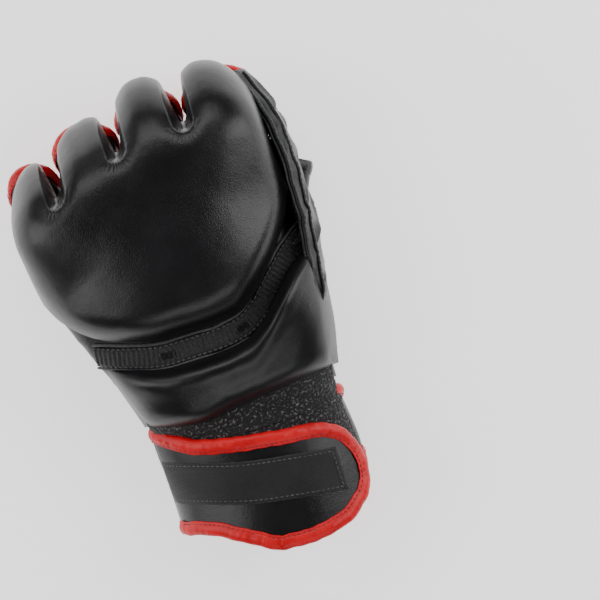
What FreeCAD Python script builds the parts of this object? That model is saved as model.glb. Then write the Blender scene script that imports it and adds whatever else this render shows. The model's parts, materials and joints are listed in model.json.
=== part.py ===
import FreeCAD, Part
import math
import os

from FreeCAD import Placement, Rotation, Vector

# Left-hand open-palm grappling (mma) glove, lying palm down on a flat surface.
# +X points to the thumb side, +Y from the wrist to the fingers, +Z up through the back of the hand.
# Millimetres. Every soft layer is offset from the same stations, so the layers meet face to face.

# a station's values: place along the hand, centre, centre height, half width and half height
STATION_VALUES = ("y", "x", "z", "a", "b")

# plan places and widths are those of a glove of this standard size, and follow hand_width and hand_length
STANDARD_WIDTH = 127
STANDARD_LENGTH = 224
WIDE = f"sizes.hand_width / {STANDARD_WIDTH}"
LONG = f"sizes.hand_length / {STANDARD_LENGTH}"

STATIONS = {
    # leather surface of the hand tube, from the wrist flex line to past the knuckles
    "palm": (("wrist", 66, -1, 33, 43, 21.5), ("heel", 80, -3, 39.7, 46, 19.5),
             ("middle", 120, -9, 41, 56, 19.5), ("knuckle", 150, -13, 41.5, 61, 19.5),
             ("front", 200, -14, 41.5, 62, 19.5)),
    # outer skin of the knuckle pad
    "pad": (("rear", 100, -10, 41, 60, 31), ("middle", 140, -13, 41, 63.5, 41),
            ("crown", 172, -14, 41, 64.5, 43), ("nose", 216, -14, 41, 62.5, 22)),
    # outer skin of the lower pad, over the back of the hand and the wrist
    "back": (("rear", 60, -2, 34, 46, 31), ("middle", 95, -6, 40, 56, 32), ("front", 135, -11, 41, 64, 36)),
    # leather of the cuff
    "cuff": (("rear", 0, 0, 26.2, 44, 27), ("middle", 31, 1, 26.2, 43, 26.6),
             ("front", 63, -1, 28.5, 42.5, 25)),
}

FINGERS = {
    # side limits of each finger, and the place of its knuckle hinge
    "index": {"low": 13.0, "high": 49.5, "hinge_y": 184, "pad": 33.5, "side": 2.2},
    "middle": {"low": -20.2, "high": 12.6, "hinge_y": 184, "pad": 34.5, "side": 2.0},
    "ring": {"low": -52.2, "high": -20.6, "hinge_y": 178, "pad": 33.5, "side": 1.6},
    "little": {"low": -77.6, "high": -52.6, "hinge_y": 167, "pad": 30.5, "side": 1.2},
}

SIZES = {
    "hand_width": 127, "hand_length": 224,
    "leather": 1.6, "lining": 1.0, "pad_skin": 1.5, "binding": 0.9, "binding_depth": 5.5, "stitch_room": 0.3,
    "deep": 400, "flex_room": 0.6, "flex_angle": 0.3, "web_margin": 2,
    "knuckle_z": 31.5, "finger_droop": 35, "rise_gap": 9, "rear_lean": 10, "curl_gap": 36.5,
    "loop_half_height": 13.5, "loop_top_length": 38, "loop_palm_length": 30,
    "lobe_length": 31, "lobe_lift": 8, "lobe_tip_width": 0.93, "lobe_tip_height": 0.6,
    "pad_edge_z": 39, "wrist_hinge_y": 66, "wrist_hinge_z": 32, "wrist_rise_gap": 13, "wrist_drop_gap": 21,
    "channel_width": 12, "strip_width": 9, "strip_thick": 2,
    "thumb_x": 11, "thumb_y": 89, "thumb_clear": 0.4, "thumb_lean": 25, "thumb_length": 92,
    "thumb_half_width": 15.5, "thumb_half_height": 10, "thumb_tip_half_width": 14.5,
    "thumb_mouth_inset": 1.5, "thumb_ring": 3, "thumb_ring_gap": 0.5,
    "opening_width": 62, "opening_length": 74,
    "strap_rear": 13, "strap_front": 58, "strap_free_end": 42, "strap_hinge_z": 26,
    "loop_panel": 1.6, "hook_patch": 1.4, "strap_leather": 2.4, "strap_band": 1.2, "strap_band_width": 21,
    "strap_gap": 0.5, "box_patch": 1.2, "tack": 0.8,
}

doc = FreeCAD.newDocument("mma_glove")
sheet = doc.addObject("Spreadsheet::Sheet", "sizes")
parts = {}


def fill_sheet():
    rows = dict(SIZES)
    for tube, stations in STATIONS.items():
        for name, *values in stations:
            for letter, value in zip(STATION_VALUES, values):
                rows[f"{tube}_{name}_{letter}"] = value
    for finger, values in FINGERS.items():
        for name, value in values.items():
            rows[f"{finger}_{name}"] = value
    for row, (name, value) in enumerate(rows.items(), start=1):
        sheet.set(f"A{row}", str(value))
        sheet.setAlias(f"A{row}", name)
    doc.recompute()


def size(name):
    return float(sheet.get(name))


def number(expression):
    """What a sheet expression comes to."""
    return float(sheet.evalExpression(expression))


def across(name):
    """A plan place or width across the hand."""
    return size(name) * number(WIDE)


def along(name):
    """A plan place along the hand."""
    return size(name) * number(LONG)


def bound(kind, label, **expressions):
    """A document object whose properties follow the sheet. A double underscore stands for a dot."""
    thing = doc.addObject(kind, label)
    for name, text in expressions.items():
        thing.setExpression(name.replace("__", "."), text)
    return thing


def ellipse(y, x, z, half_width, half_height):
    """An ellipse across the hand, facing along Y. Its long axis stands up where it is higher than wide."""
    upright = number(half_height) > number(half_width)
    long_axis, short_axis = (half_height, half_width) if upright else (half_width, half_height)
    ring = bound("Part::Ellipse", "section", MajorRadius=long_axis, MinorRadius=short_axis)
    spin = Rotation(Vector(0, 0, 1), 90 if upright else 0)
    ring.Placement = Placement(Vector(), Rotation(Vector(1, 0, 0), 90) * spin)
    for axis, text in zip("xyz", (x, y, z)):
        ring.setExpression(f"Placement.Base.{axis}", text)
    return ring


def loft(sections, label="tube"):
    solid = doc.addObject("Part::Loft", label)
    solid.Sections = sections
    solid.Solid = True
    return solid


def tube(name, grow="0"):
    """The solid inside one family of stations, grown outwards by a sheet expression."""
    rings = []
    for station, *_ in STATIONS[name]:
        key = f"sizes.{name}_{station}"
        rings.append(ellipse(f"{key}_y * {LONG}", f"{key}_x * {WIDE}", f"{key}_z",
                             f"{key}_a * {WIDE} + {grow}", f"{key}_b + {grow}"))
    return loft(rings)


def cut(base, tool, label="cut"):
    result = doc.addObject("Part::Cut", label)
    result.Base = base
    result.Tool = tool
    return result


def common(*shapes, label="common"):
    result = doc.addObject("Part::MultiCommon", label)
    result.Shapes = list(shapes)
    return result


def fuse(*shapes, label="fuse"):
    result = doc.addObject("Part::MultiFuse", label)
    result.Shapes = list(shapes)
    return result


def block(x, y, z, length, width, height):
    """A block from its low corner; every value is a sheet expression."""
    solid = bound("Part::Box", "block", Length=length, Width=width, Height=height)
    for axis, text in zip("xyz", (x, y, z)):
        solid.setExpression(f"Placement.Base.{axis}", text)
    return solid


def carried(corners, travel, smooth=False):
    """A closed outline carried along a vector into a solid."""
    if smooth:
        curve = Part.BSplineCurve()
        curve.interpolate(corners, PeriodicFlag=True)
        wire = Part.Wire(curve.toShape())
    else:
        wire = Part.makePolygon(corners + corners[:1])
    outline = doc.addObject("Part::Feature", "outline")
    outline.Shape = Part.Face(wire)
    solid = doc.addObject("Part::Extrusion", "prism")
    solid.Base = outline
    solid.DirMode = "Custom"
    solid.Dir = Vector(travel).normalize()
    solid.LengthFwd = travel.Length
    solid.Solid = True
    return solid


def prism(points, low, high, smooth=False):
    """A plan outline of the standard glove, fitted to this one and carried from low to high."""
    wide, long = number(WIDE), number(LONG)
    return carried([Vector(x * wide, y * long, low) for x, y in points], Vector(0, 0, high - low), smooth)


def wedge(x_low, x_high, apex, first, second):
    """A fan across the hand, from an X axis through apex between two directions in degrees from +Y to +Z."""
    reach = 120
    steps = 3
    corners = [Vector(x_low, apex[0], apex[1])]
    for step in range(steps + 1):
        angle = math.radians(first + (second - first) * step / steps)
        corners.append(Vector(x_low, apex[0] + reach * math.cos(angle), apex[1] + reach * math.sin(angle)))
    return carried(corners, Vector(x_high - x_low, 0, 0))


def keep(label, solid):
    """Names a finished sub-part."""
    solid.Label = label
    parts[label] = solid
    return solid


# ---------------------------------------------------------------- the hand: cutters shared by its pieces

def knuckle_hinge(finger):
    return along(f"{finger}_hinge_y"), size("knuckle_z")


def side_profile(finger):
    """The hand's side view along one finger: fans open at the wrist and the knuckle for their flex."""
    top_z, palm_z = 130, 5
    wrist_y, wrist_z = along("wrist_hinge_y"), size("wrist_hinge_z")
    knuckle_y, knuckle_z = knuckle_hinge(finger)
    knuckle_y -= size("flex_room")
    rise = math.radians(size("finger_droop") - size("rise_gap"))
    curl = math.radians(size("finger_droop") - size("rear_lean") + size("curl_gap"))
    wrist_rise = math.radians(size("wrist_rise_gap"))
    wrist_drop = math.radians(size("wrist_drop_gap"))
    return [(wrist_y, wrist_z), (wrist_y + (top_z - wrist_z) * math.tan(wrist_rise), top_z),
            (knuckle_y + (top_z - knuckle_z) * math.tan(rise), top_z), (knuckle_y, knuckle_z),
            (knuckle_y + (palm_z - knuckle_z) * math.tan(curl), palm_z),
            (wrist_y + (wrist_z - palm_z) * math.tan(wrist_drop), palm_z)]


SIDE_REACH = 40      # past the hand's outer sides
SLAB_LAP = 0.25      # each finger's slab overlaps the next, and stays clear of the next finger's lobe


def hand_zone():
    """Where the hand's own pieces may be: between the wrist flex line and each finger's knuckle."""
    slabs = []
    for finger in FINGERS:
        low = across(f"{finger}_low") - (SIDE_REACH if finger == "little" else SLAB_LAP)
        high = across(f"{finger}_high") + (SIDE_REACH if finger == "index" else SLAB_LAP)
        points = [Vector(low, y, z) for y, z in side_profile(finger)]
        slabs.append(carried(points, Vector(high - low, 0, 0)))
    return fuse(*slabs, label="hand_zone")


OPENING = ((-50, 118), (-46, 138), (-30, 151), (-4, 155), (20, 154), (34, 149), (32, 141), (16, 133),
           (5, 118), (-2, 101), (-14, 84), (-26, 80), (-40, 94))


def opening_outline(grow):
    """The half-moon palm opening, widest behind the ring finger and drawn to a point at the thumb seam."""
    middle_x = sum(x for x, _ in OPENING) / len(OPENING)
    middle_y = sum(y for _, y in OPENING) / len(OPENING)
    scale_x = 1 + 2 * grow / size("opening_width")
    scale_y = 1 + 2 * grow / size("opening_length")
    return [(middle_x + (x - middle_x) * scale_x, middle_y + (y - middle_y) * scale_y) for x, y in OPENING]


def opening_prism(grow):
    return prism(opening_outline(grow), -5, size("palm_heel_z"), smooth=True)


def thumb_column(radius, low, high):
    """An upright round column on the thumb's swing axis."""
    return bound("Part::Cylinder", "column", Radius=radius, Height=f"{high} - ({low})",
                 Placement__Base__x=f"sizes.thumb_x * {WIDE}", Placement__Base__y=f"sizes.thumb_y * {LONG}",
                 Placement__Base__z=low)


# plan of the knuckle pad's rear edge, from the little-finger side to the thumb side
REAR_EDGE = ((-90, 131), (-73, 127), (-52, 114), (-26, 107.5), (8, 108.5), (20, 117), (30, 129),
             (52, 143), (70, 150))


def shifted(points, back):
    return [(x, y - back) for x, y in points]


def band_outline(back_from, back_to):
    """The strip of plan between two lines parallel to the knuckle pad's rear edge."""
    return shifted(REAR_EDGE, back_from) + shifted(REAR_EDGE, back_to)[::-1]


def pad_outline():
    return list(REAR_EDGE) + [(90, 260), (-90, 260)]


def lower_pad_outline():
    front = shifted([p for p in REAR_EDGE if -60 < p[0] < 60], size("channel_width"))
    return [(-49, 72), (-34, 68), (-20, 66.5), (-5, 69.5), (45, 75.5), (50, 90), (51.5, 122)] + front[::-1]


def make_hand_tubes():
    surface = tube("palm")
    inner = tube("palm", "-sizes.leather")
    cavity = tube("palm", "-sizes.leather - sizes.lining")
    return surface, inner, cavity


THUMB_HEIGHT = "(sizes.thumb_half_height + sizes.tack + sizes.thumb_clear)"
THUMB_MOUTH = "sizes.thumb_half_width - sizes.thumb_mouth_inset"

fill_sheet()
surface, inner, cavity = make_hand_tubes()
zone = hand_zone()
opening = opening_prism(0)
mouth = thumb_column(THUMB_MOUTH, "0", "sizes.palm_heel_z")
palm_holes = fuse(opening, mouth)


def make_lining():
    sleeve = common(cut(inner, cavity), zone)
    keep("hand_lining", cut(sleeve, palm_holes))


def make_panels():
    """Base leather, in the panels it is sewn from: back, thumb side, little side, and two palm panels."""
    deep = size("deep")
    leather = cut(common(cut(surface, inner), zone), palm_holes)
    side_z = size("palm_heel_z")
    seam = [(-90, 60), (-90, 96), (-34, 96), (-8, 90), (4, 112), (38, 120), (90, 120), (90, 60)]
    low_zone = prism([(-46, 40), (-55, 130), (-66, 230), (38, 230), (40, 130), (33, 40)], -20, side_z)
    heel_zone = prism(seam, -30, deep)
    back_zone = prism([(-40, 40), (-62, 130), (-66, 260), (44, 260), (44, 130), (34, 40)], side_z, deep)
    thumb_zone = prism([(-5, 30), (-5, 260), (150, 260), (150, 30)], -60, deep)
    keep("palm_panel_heel", common(leather, low_zone, heel_zone))
    keep("palm_panel_upper", cut(common(leather, low_zone), heel_zone))
    keep("back_panel", common(leather, back_zone))
    sides = cut(cut(leather, low_zone), back_zone)
    keep("thumb_side_panel", common(sides, thumb_zone))
    keep("little_side_panel", cut(sides, thumb_zone))


def make_knuckle_pad():
    plan = common(prism(pad_outline(), size("pad_edge_z"), size("deep")), zone)
    outer = cut(tube("pad"), surface)
    inside = cut(tube("pad", "-sizes.pad_skin"), surface)
    keep("knuckle_pad_shell", common(cut(outer, inside), plan))
    keep("knuckle_pad_foam", common(inside, plan))


def make_lower_pad():
    plan = common(prism(lower_pad_outline(), size("pad_edge_z"), size("deep")), zone)
    outer = cut(tube("back"), surface)
    inside = cut(tube("back", "-sizes.pad_skin"), surface)
    keep("lower_pad_shell", common(cut(outer, inside), plan))
    keep("lower_pad_foam", common(inside, plan))


def make_strip():
    """The ribbed band that lies in the channel behind the knuckle pad."""
    side = (size("channel_width") - size("strip_width")) / 2
    plan = prism(band_outline(side, side + size("strip_width")), size("pad_edge_z"), size("deep"))
    thick = cut(tube("palm", "sizes.strip_thick"), surface)
    keep("flex_rib_strip", common(thick, plan))


def make_opening_binding():
    """Binding tape folded over the edge of the palm opening: an outer lip and an edge wall."""
    tape = size("binding")
    raised = cut(tube("palm", "sizes.binding"), cavity)
    lip = common(raised, opening_prism(size("binding_depth")))
    behind = cut(surface, opening)
    tape_hole = opening_prism(-tape)
    hole = thumb_column(f"{THUMB_MOUTH} + sizes.thumb_ring + sizes.stitch_room", "0", "sizes.palm_heel_z")
    keep("palm_opening_binding", cut(lip, fuse(behind, tape_hole, hole)))


def make_thumb_ring():
    """The rolled seam round the thumb hole, standing down from the palm."""
    low = f"{THUMB_HEIGHT} + sizes.thumb_half_height + sizes.thumb_ring_gap"
    outer = thumb_column(f"{THUMB_MOUTH} + sizes.thumb_ring", low, "sizes.palm_heel_z")
    inside = thumb_column(THUMB_MOUTH, "0", "sizes.palm_heel_z")
    keep("thumb_seam_ring", cut(outer, fuse(inside, surface)))


def make_side_trim():
    """Red binding up the edge of the side slit, and bar tacks at the ends of the ribbed band."""
    raised = cut(tube("palm", "sizes.binding"), surface)
    slit = prism([(40, 74), (46, 73), (53, 100), (47, 101)], -20, size("pad_edge_z") - 1)
    keep("side_slit_binding", common(raised, slit))
    studs = cut(tube("palm", "sizes.strip_thick + sizes.tack"), tube("palm", "sizes.strip_thick"))
    marks = [prism([(x - 4, y - 1.2), (x + 4, y - 1.2), (x + 4, y + 1.2), (x - 4, y + 1.2)], 40, 90)
             for x, y in ((-26, 101.5), (8, 102.5))]
    keep("bar_tacks", common(studs, fuse(*marks)))


def make_webs():
    """Soft leather that bridges each finger's flex gap on the palm side."""
    sheet_layer = cut(surface, inner)
    margin = size("web_margin")
    palm = -90 - size("finger_droop") + size("rear_lean")
    for finger in FINGERS:
        fan = wedge(across(f"{finger}_low"), across(f"{finger}_high"), knuckle_hinge(finger),
                    palm - size("curl_gap") + margin, palm - margin)
        keep(f"{finger}_flex_web", common(sheet_layer, fan))


def make_wrist_gusset():
    """Stretch fabric that closes the wrist flex gap."""
    layer = cut(tube("palm", "-1"), tube("palm", "-sizes.leather - sizes.lining"))
    apex = (along("wrist_hinge_y"), size("wrist_hinge_z"))
    deep = size("deep")
    top = wedge(-deep, deep, apex, 90 - size("wrist_rise_gap") + 1, 90)
    palm = wedge(-deep, deep, apex, 270, 270 + size("wrist_drop_gap") - 1)
    keep("wrist_gusset", common(layer, fuse(top, palm)))


# ---------------------------------------------------------------- fingers, in their own hinge frames

def finger_place(finger):
    """From a finger's own frame, Y along the finger and Z to its back, to the glove's frame."""
    hinge_y, hinge_z = knuckle_hinge(finger)
    return Placement(Vector(0, hinge_y, hinge_z), Rotation(Vector(1, 0, 0), -size("finger_droop")))


def finger_width(finger):
    return f"(sizes.{finger}_high - sizes.{finger}_low) / 2 * {WIDE}"


def finger_middle(finger):
    return f"(sizes.{finger}_high + sizes.{finger}_low) / 2 * {WIDE}"


def straight_tube(finger, grow, start, end):
    """A finger loop's oval, grown by a sheet expression, between two distances along the finger."""
    wide = f"{finger_width(finger)} - sizes.{finger}_side - sizes.binding + {grow}"
    tall = f"sizes.loop_half_height + {grow}"
    return loft([ellipse(str(y), finger_middle(finger), "0", wide, tall) for y in (start, end)])


def front_block(back):
    """Everything in front of a loop's slanted mouth, moved back along the finger by a distance."""
    tall = 2 * size("loop_half_height")
    slant = math.degrees(math.atan2(size("loop_top_length") - size("loop_palm_length"), tall))
    middle = (size("loop_top_length") + size("loop_palm_length")) / 2 - back
    solid = doc.addObject("Part::Box", "front")
    solid.Length = 400
    solid.Width = 200
    solid.Height = 400
    turn = Rotation(Vector(1, 0, 0), -slant)
    solid.Placement = Placement(Vector(0, middle, 0) + turn.multVec(Vector(-200, 0, -200)), turn)
    return solid


def rear_fan():
    """Everything behind a finger's hinge."""
    deep = size("deep")
    return wedge(-deep, deep, (0, 0), 90 - size("flex_angle"), 270 + size("rear_lean"))


def make_finger(finger):
    layers = {"outer": "0", "inner": "-sizes.leather", "hole": "-sizes.leather - sizes.lining"}
    solids = {name: straight_tube(finger, grow, -30, 60) for name, grow in layers.items()}
    back = rear_fan()
    front = front_block(0)
    ends_cut = fuse(back, front)
    keep(f"{finger}_loop", cut(cut(solids["outer"], solids["inner"]), ends_cut))
    keep(f"{finger}_loop_lining", cut(cut(solids["inner"], solids["hole"]), ends_cut))
    make_loop_binding(finger, solids, front)
    make_lobe(finger, solids["outer"])


def make_loop_binding(finger, solids, front):
    raised = straight_tube(finger, "sizes.binding", -20, 55)
    inside = straight_tube(finger, "-sizes.leather - sizes.lining - sizes.binding", -20, 55)
    fold = cut(cut(raised, inside), front_block(-size("binding")))
    lip = common(fold, front_block(size("binding_depth")))
    keep(f"{finger}_loop_binding", cut(lip, cut(cut(solids["outer"], solids["hole"]), front)))


def lobe_solid(finger, shrink):
    """A padded lobe: an oval that narrows and drops towards the finger's tip; shrink is an expression."""
    wide = finger_width(finger)
    shares = (("-0.2", "1", "1", "0"), ("0.45", "1", "0.93", "0"),
              ("1", "sizes.lobe_tip_width", "sizes.lobe_tip_height", shrink))
    rings = [ellipse(f"{share} * sizes.lobe_length - ({back})", finger_middle(finger),
                     f"sizes.lobe_lift * {height}", f"{wide} * {width} - ({shrink})",
                     f"sizes.{finger}_pad * {height} - ({shrink})")
             for share, width, height, back in shares]
    return loft(rings)


def make_lobe(finger, loop_outer):
    deep = size("deep")
    tape = front_block(size("binding_depth") + size("stitch_room"))
    outer = cut(lobe_solid(finger, "0"), loop_outer)
    inside = cut(lobe_solid(finger, "sizes.pad_skin"), loop_outer)
    upper = cut(wedge(-deep, deep, (0, 0), 0, 90 - size("flex_angle")), tape)
    keep(f"{finger}_lobe_shell", common(cut(outer, inside), upper))
    keep(f"{finger}_lobe_foam", common(inside, upper))


# ---------------------------------------------------------------- thumb

def thumb_place():
    """From the thumb's own frame, Y along the thumb from its swing axis, to the glove's frame."""
    return Placement(Vector(across("thumb_x"), along("thumb_y"), number(THUMB_HEIGHT)),
                     Rotation(Vector(0, 0, 1), -size("thumb_lean")))


def thumb_solid(grow):
    """A flattened tube with a rounded heel under the palm; grow is a number."""
    wide = size("thumb_half_width") + grow
    tip = size("thumb_tip_half_width") + grow
    tall = size("thumb_half_height") + grow
    length = size("thumb_length")
    rings = []
    for y, across in ((0, wide), (length * 0.5, wide), (length, tip), (length + 30, tip)):
        ring = doc.addObject("Part::Ellipse", "section")
        ring.MajorRadius = across
        ring.MinorRadius = tall
        ring.Placement = Placement(Vector(0, y, 0), Rotation(Vector(1, 0, 0), 90))
        rings.append(ring)
    heel = doc.addObject("Part::Ellipsoid", "heel")
    heel.Radius1 = tall
    heel.Radius2 = wide
    heel.Radius3 = wide
    return fuse(loft(rings), heel)


def thumb_end(offset):
    """Everything past the thumb's tip."""
    length = size("thumb_length") + offset
    return block("-100", str(length), "-100", "200", "200", "200")


def make_thumb():
    outer = thumb_solid(0)
    inside = thumb_solid(-size("leather"))
    hole = thumb_solid(-size("leather") - size("lining"))
    port = bound("Part::Cylinder", "port", Radius=THUMB_MOUTH, Height="30")
    trim = fuse(thumb_end(0), port)
    keep("thumb_tube", cut(cut(outer, inside), trim))
    keep("thumb_tube_lining", cut(cut(inside, hole), trim))
    hem_outer = cut(thumb_solid(size("tack")), thumb_end(1))
    hem_start = block("-100", str(size("thumb_length") - size("binding_depth")), "-100", "200", "200", "200")
    hem = common(cut(hem_outer, hole), hem_start)
    keep("thumb_hem", cut(hem, cut(outer, thumb_end(0))))


# ---------------------------------------------------------------- cuff and strap

def above_floor():
    return block("-200", "-200", "0", "400", "400", "400")


def make_cuff():
    low = above_floor()
    outer = tube("cuff")
    inside = tube("cuff", "-sizes.leather")
    hole = tube("cuff", "-sizes.leather - sizes.lining")
    keep("cuff_shell", common(cut(outer, inside), low))
    keep("cuff_lining", common(cut(inside, hole), low))
    panel = common(cut(tube("cuff", "sizes.loop_panel"), outer),
                   prism([(-38, 8), (-38, 61), (41, 61), (41, 8)], size("cuff_rear_z") + 8, size("deep")))
    keep("cuff_loop_panel", panel)
    raised = tube("cuff", "sizes.binding")
    edge = cut(raised, hole)
    rear_edge = common(edge, block("-200", "-50", "0", "400", "50 + sizes.binding_depth", "400"), low)
    keep("cuff_bottom_binding", cut(rear_edge, cut(outer, hole)))
    ring = cut(raised, outer)
    front_low = prism([(-14, 56.5), (40, 58), (60, 58), (60, 63), (-14, 63)], 0.0, size("cuff_front_z") + 4)
    keep("cuff_top_binding", common(ring, front_low))
    tab = common(cut(tube("cuff", "sizes.box_patch"), outer), low,
                 prism([(20, 18), (33, 18), (33, 50), (20, 50)], -10, size("cuff_rear_z")))
    keep("cuff_box_patch", tab)


def strap_outline(grow):
    """Plan of the strap, from the little-finger side to a rounded free end."""
    rear, front = size("strap_rear") - grow, size("strap_front") + grow
    end = size("strap_free_end") + grow
    return [(-70, rear + 3), (-33, rear), (-3, rear - 6), (20, rear - 4), (end - 9, rear), (end, rear + 14),
            (end + 0.5, front - 18), (end - 6, front - 6), (20, front - 6), (-27, front), (-70, front + 2)]


def strap_band_outline():
    """Plan of the woven band, which leans with the strap's front edge."""
    middle = (size("strap_rear") + size("strap_front")) / 2
    half = size("strap_band_width") / 2
    end = size("strap_free_end") - 8
    line = [(-70, middle + 14), (-33, middle + 5), (-10, middle - 1), (10, middle - 4), (end, middle - 7)]
    return shifted(line, half) + shifted(line, -half)[::-1]


def strap_layer(start, thick):
    """A curved layer over the cuff, from one height above its leather to another."""
    return cut(tube("cuff", f"{start} + {thick}"), tube("cuff", start))


def make_strap():
    base = "sizes.loop_panel + sizes.strap_gap"
    body = f"{base} + sizes.hook_patch"
    top = f"{body} + sizes.strap_leather"
    deep = size("deep")
    low = size("strap_hinge_z")
    tape = size("binding")
    patch = prism([(2, 16), (2, 44), (34, 46), (36, 22)], low, deep)
    keep("strap_hook_patch", common(strap_layer(base, "sizes.hook_patch"), patch))
    outline = prism(strap_outline(0), low, deep)
    keep("strap_shell", common(strap_layer(body, "sizes.strap_leather"), outline))
    inside = prism(strap_outline(-size("binding_depth") - size("stitch_room")), low, deep)
    band = prism(strap_band_outline(), low + 1, deep)
    keep("strap_band", common(strap_layer(top, "sizes.strap_band"), band, inside))
    raised = strap_layer(f"{body} - 0.45", "sizes.strap_leather + 0.45 + sizes.binding")
    rim = cut(prism(strap_outline(tape), low, deep), prism(strap_outline(-size("binding_depth")), low, deep))
    core = common(strap_layer(f"{body} - 1", "sizes.strap_leather + 1"),
                  prism(strap_outline(0), low - 1, deep))
    keep("strap_binding", cut(common(raised, rim), core))


def check_document():
    """Stops if any object of the document failed, or a sub-part is not a valid solid."""
    for thing in doc.Objects:
        if {"Invalid", "Error"} & set(thing.State):
            raise RuntimeError(f"{thing.Label} failed: {thing.State}")
    for label, solid in parts.items():
        if solid.Shape.isNull() or not solid.Shape.isValid() or not solid.Shape.Solids:
            raise RuntimeError(f"{label} has no valid solid")


def own_place(label):
    """The place of a sub-part's own frame in the glove."""
    first, *rest = label.split("_")
    if first in FINGERS and rest[0] in ("loop", "lobe"):
        return finger_place(first)
    if label.startswith("thumb_tube") or label == "thumb_hem":
        return thumb_place()
    return Placement()


def seat_parts():
    """Places every sub-part so that the origin is the middle of the glove's base."""
    points = []
    for label, solid in parts.items():
        solid.Placement = own_place(label)
        points += solid.Shape.tessellate(0.3)[0]
    low = Vector(*(min(point[i] for point in points) for i in range(3)))
    high = Vector(*(max(point[i] for point in points) for i in range(3)))
    middle = (low + high) / 2
    for label, solid in parts.items():
        solid.Placement = Placement(Vector(-middle.x, -middle.y, 0), Rotation()).multiply(own_place(label))
        solid.purgeTouched()
    return middle, low, high


def write_parts():
    os.makedirs("parts", exist_ok=True)
    for label, solid in parts.items():
        solid.Shape.exportStep(f"parts/{label}.step")


make_lining()
make_panels()
make_knuckle_pad()
make_lower_pad()
make_strip()
make_opening_binding()
make_thumb_ring()
make_side_trim()
make_webs()
make_wrist_gusset()
for finger_name in FINGERS:
    make_finger(finger_name)
make_thumb()
make_cuff()
make_strap()
doc.recompute()
check_document()
middle, lowest, highest = seat_parts()
write_parts()
print("origin at", middle, "size", highest - lowest, "lowest", lowest.z)
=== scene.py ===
import json
import math

import bpy
import numpy as np
from mathutils import Matrix, Vector


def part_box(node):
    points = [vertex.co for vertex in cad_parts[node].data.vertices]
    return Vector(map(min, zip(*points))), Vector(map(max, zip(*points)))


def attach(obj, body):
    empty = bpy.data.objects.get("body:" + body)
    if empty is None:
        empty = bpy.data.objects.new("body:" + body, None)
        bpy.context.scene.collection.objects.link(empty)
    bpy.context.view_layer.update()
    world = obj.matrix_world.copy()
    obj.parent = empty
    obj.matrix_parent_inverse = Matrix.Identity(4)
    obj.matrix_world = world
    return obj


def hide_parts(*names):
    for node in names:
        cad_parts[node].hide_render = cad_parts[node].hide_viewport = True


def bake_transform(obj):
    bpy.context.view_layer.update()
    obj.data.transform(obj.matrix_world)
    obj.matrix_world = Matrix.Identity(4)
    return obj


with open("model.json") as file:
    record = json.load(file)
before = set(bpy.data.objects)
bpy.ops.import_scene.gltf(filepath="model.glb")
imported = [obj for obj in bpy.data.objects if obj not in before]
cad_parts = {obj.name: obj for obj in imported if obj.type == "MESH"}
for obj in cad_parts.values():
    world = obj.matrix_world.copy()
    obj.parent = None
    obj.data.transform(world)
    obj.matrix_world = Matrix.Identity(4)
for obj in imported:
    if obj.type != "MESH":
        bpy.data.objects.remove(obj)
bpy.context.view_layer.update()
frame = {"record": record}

MM = 0.001

# ---------------- the glove's frame
# Shapes are in millimetres in the hand's frame: X to the thumb side, Y from the cuff's rear edge to the
# fingers, Z up from the surface the glove lies on. The cuff's box gives where that frame is in the row frame.

cuff_low, cuff_high = (np.array(corner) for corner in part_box("cuff_shell"))
ORIGIN = np.array([(cuff_low[0] + cuff_high[0]) / 2, cuff_low[1], 0.0])
JOINTS = frame["record"]["behaviour"]["joints"]
HINGES = {joint["name"]: (np.array(joint["pos_m"]) - ORIGIN) / MM for joint in JOINTS}
FINGERS = ("little", "ring", "middle", "index")
DROOP = math.radians(35)

PALM_LEVEL = 39.0            # height of the pads' side seams
KNUCKLE_Z = HINGES["index_curl"][2]


def to_row(points):
    return np.asarray(points, float) * MM + ORIGIN


def curve_through(xs, ys):
    """A smooth function through points, with no overshoot between them."""
    xs, ys = np.array(xs, float), np.array(ys, float)
    steps = np.diff(ys) / np.diff(xs)
    slopes = np.zeros(len(xs))
    for i in range(1, len(xs) - 1):
        a, b = steps[i - 1], steps[i]
        slopes[i] = 0.0 if a * b <= 0 else 2 * a * b / (a + b)
    slopes[0], slopes[-1] = steps[0], steps[-1]

    def at(x):
        x = np.clip(x, xs[0], xs[-1])
        i = np.clip(np.searchsorted(xs, x) - 1, 0, len(xs) - 2)
        gap = xs[i + 1] - xs[i]
        t = (x - xs[i]) / gap
        return ((1 + 2 * t) * (1 - t) ** 2 * ys[i] + t * (1 - t) ** 2 * gap * slopes[i]
                + t * t * (3 - 2 * t) * ys[i + 1] + t * t * (t - 1) * gap * slopes[i + 1])
    return at


def smooth(low, high, value):
    t = np.clip((np.asarray(value, float) - low) / (high - low), 0, 1)
    return t * t * (3 - 2 * t)


def rounded(distance, radius, power=2.2):
    """Height share of a rolled edge: 0 at the edge, 1 past its radius."""
    t = np.clip(1 - np.asarray(distance, float) / radius, 0, 1)
    return (1 - t ** power) ** (1 / power)


def ripples(points, wavelength, seed, count=7):
    """Smooth pseudo-random waves in space, about -1 to 1, the same every run."""
    rng = np.random.default_rng(seed)
    total = np.zeros(np.asarray(points).shape[:-1])
    for _ in range(count):
        direction = rng.normal(size=3)
        direction *= 2 * math.pi / (wavelength * rng.uniform(0.7, 1.5) * np.linalg.norm(direction))
        total += np.sin(points @ direction + rng.uniform(0, 2 * math.pi))
    return total / math.sqrt(count)


def xyz(*parts):
    """Coordinates, or any same-shaped parts, stacked along a last axis."""
    return np.stack(np.broadcast_arrays(*parts), axis=-1)


def full_turn(count):
    return np.linspace(0, 2 * math.pi, count, endpoint=False)


def unit(vectors):
    return vectors / np.maximum(np.linalg.norm(vectors, axis=-1, keepdims=True), 1e-9)


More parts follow.
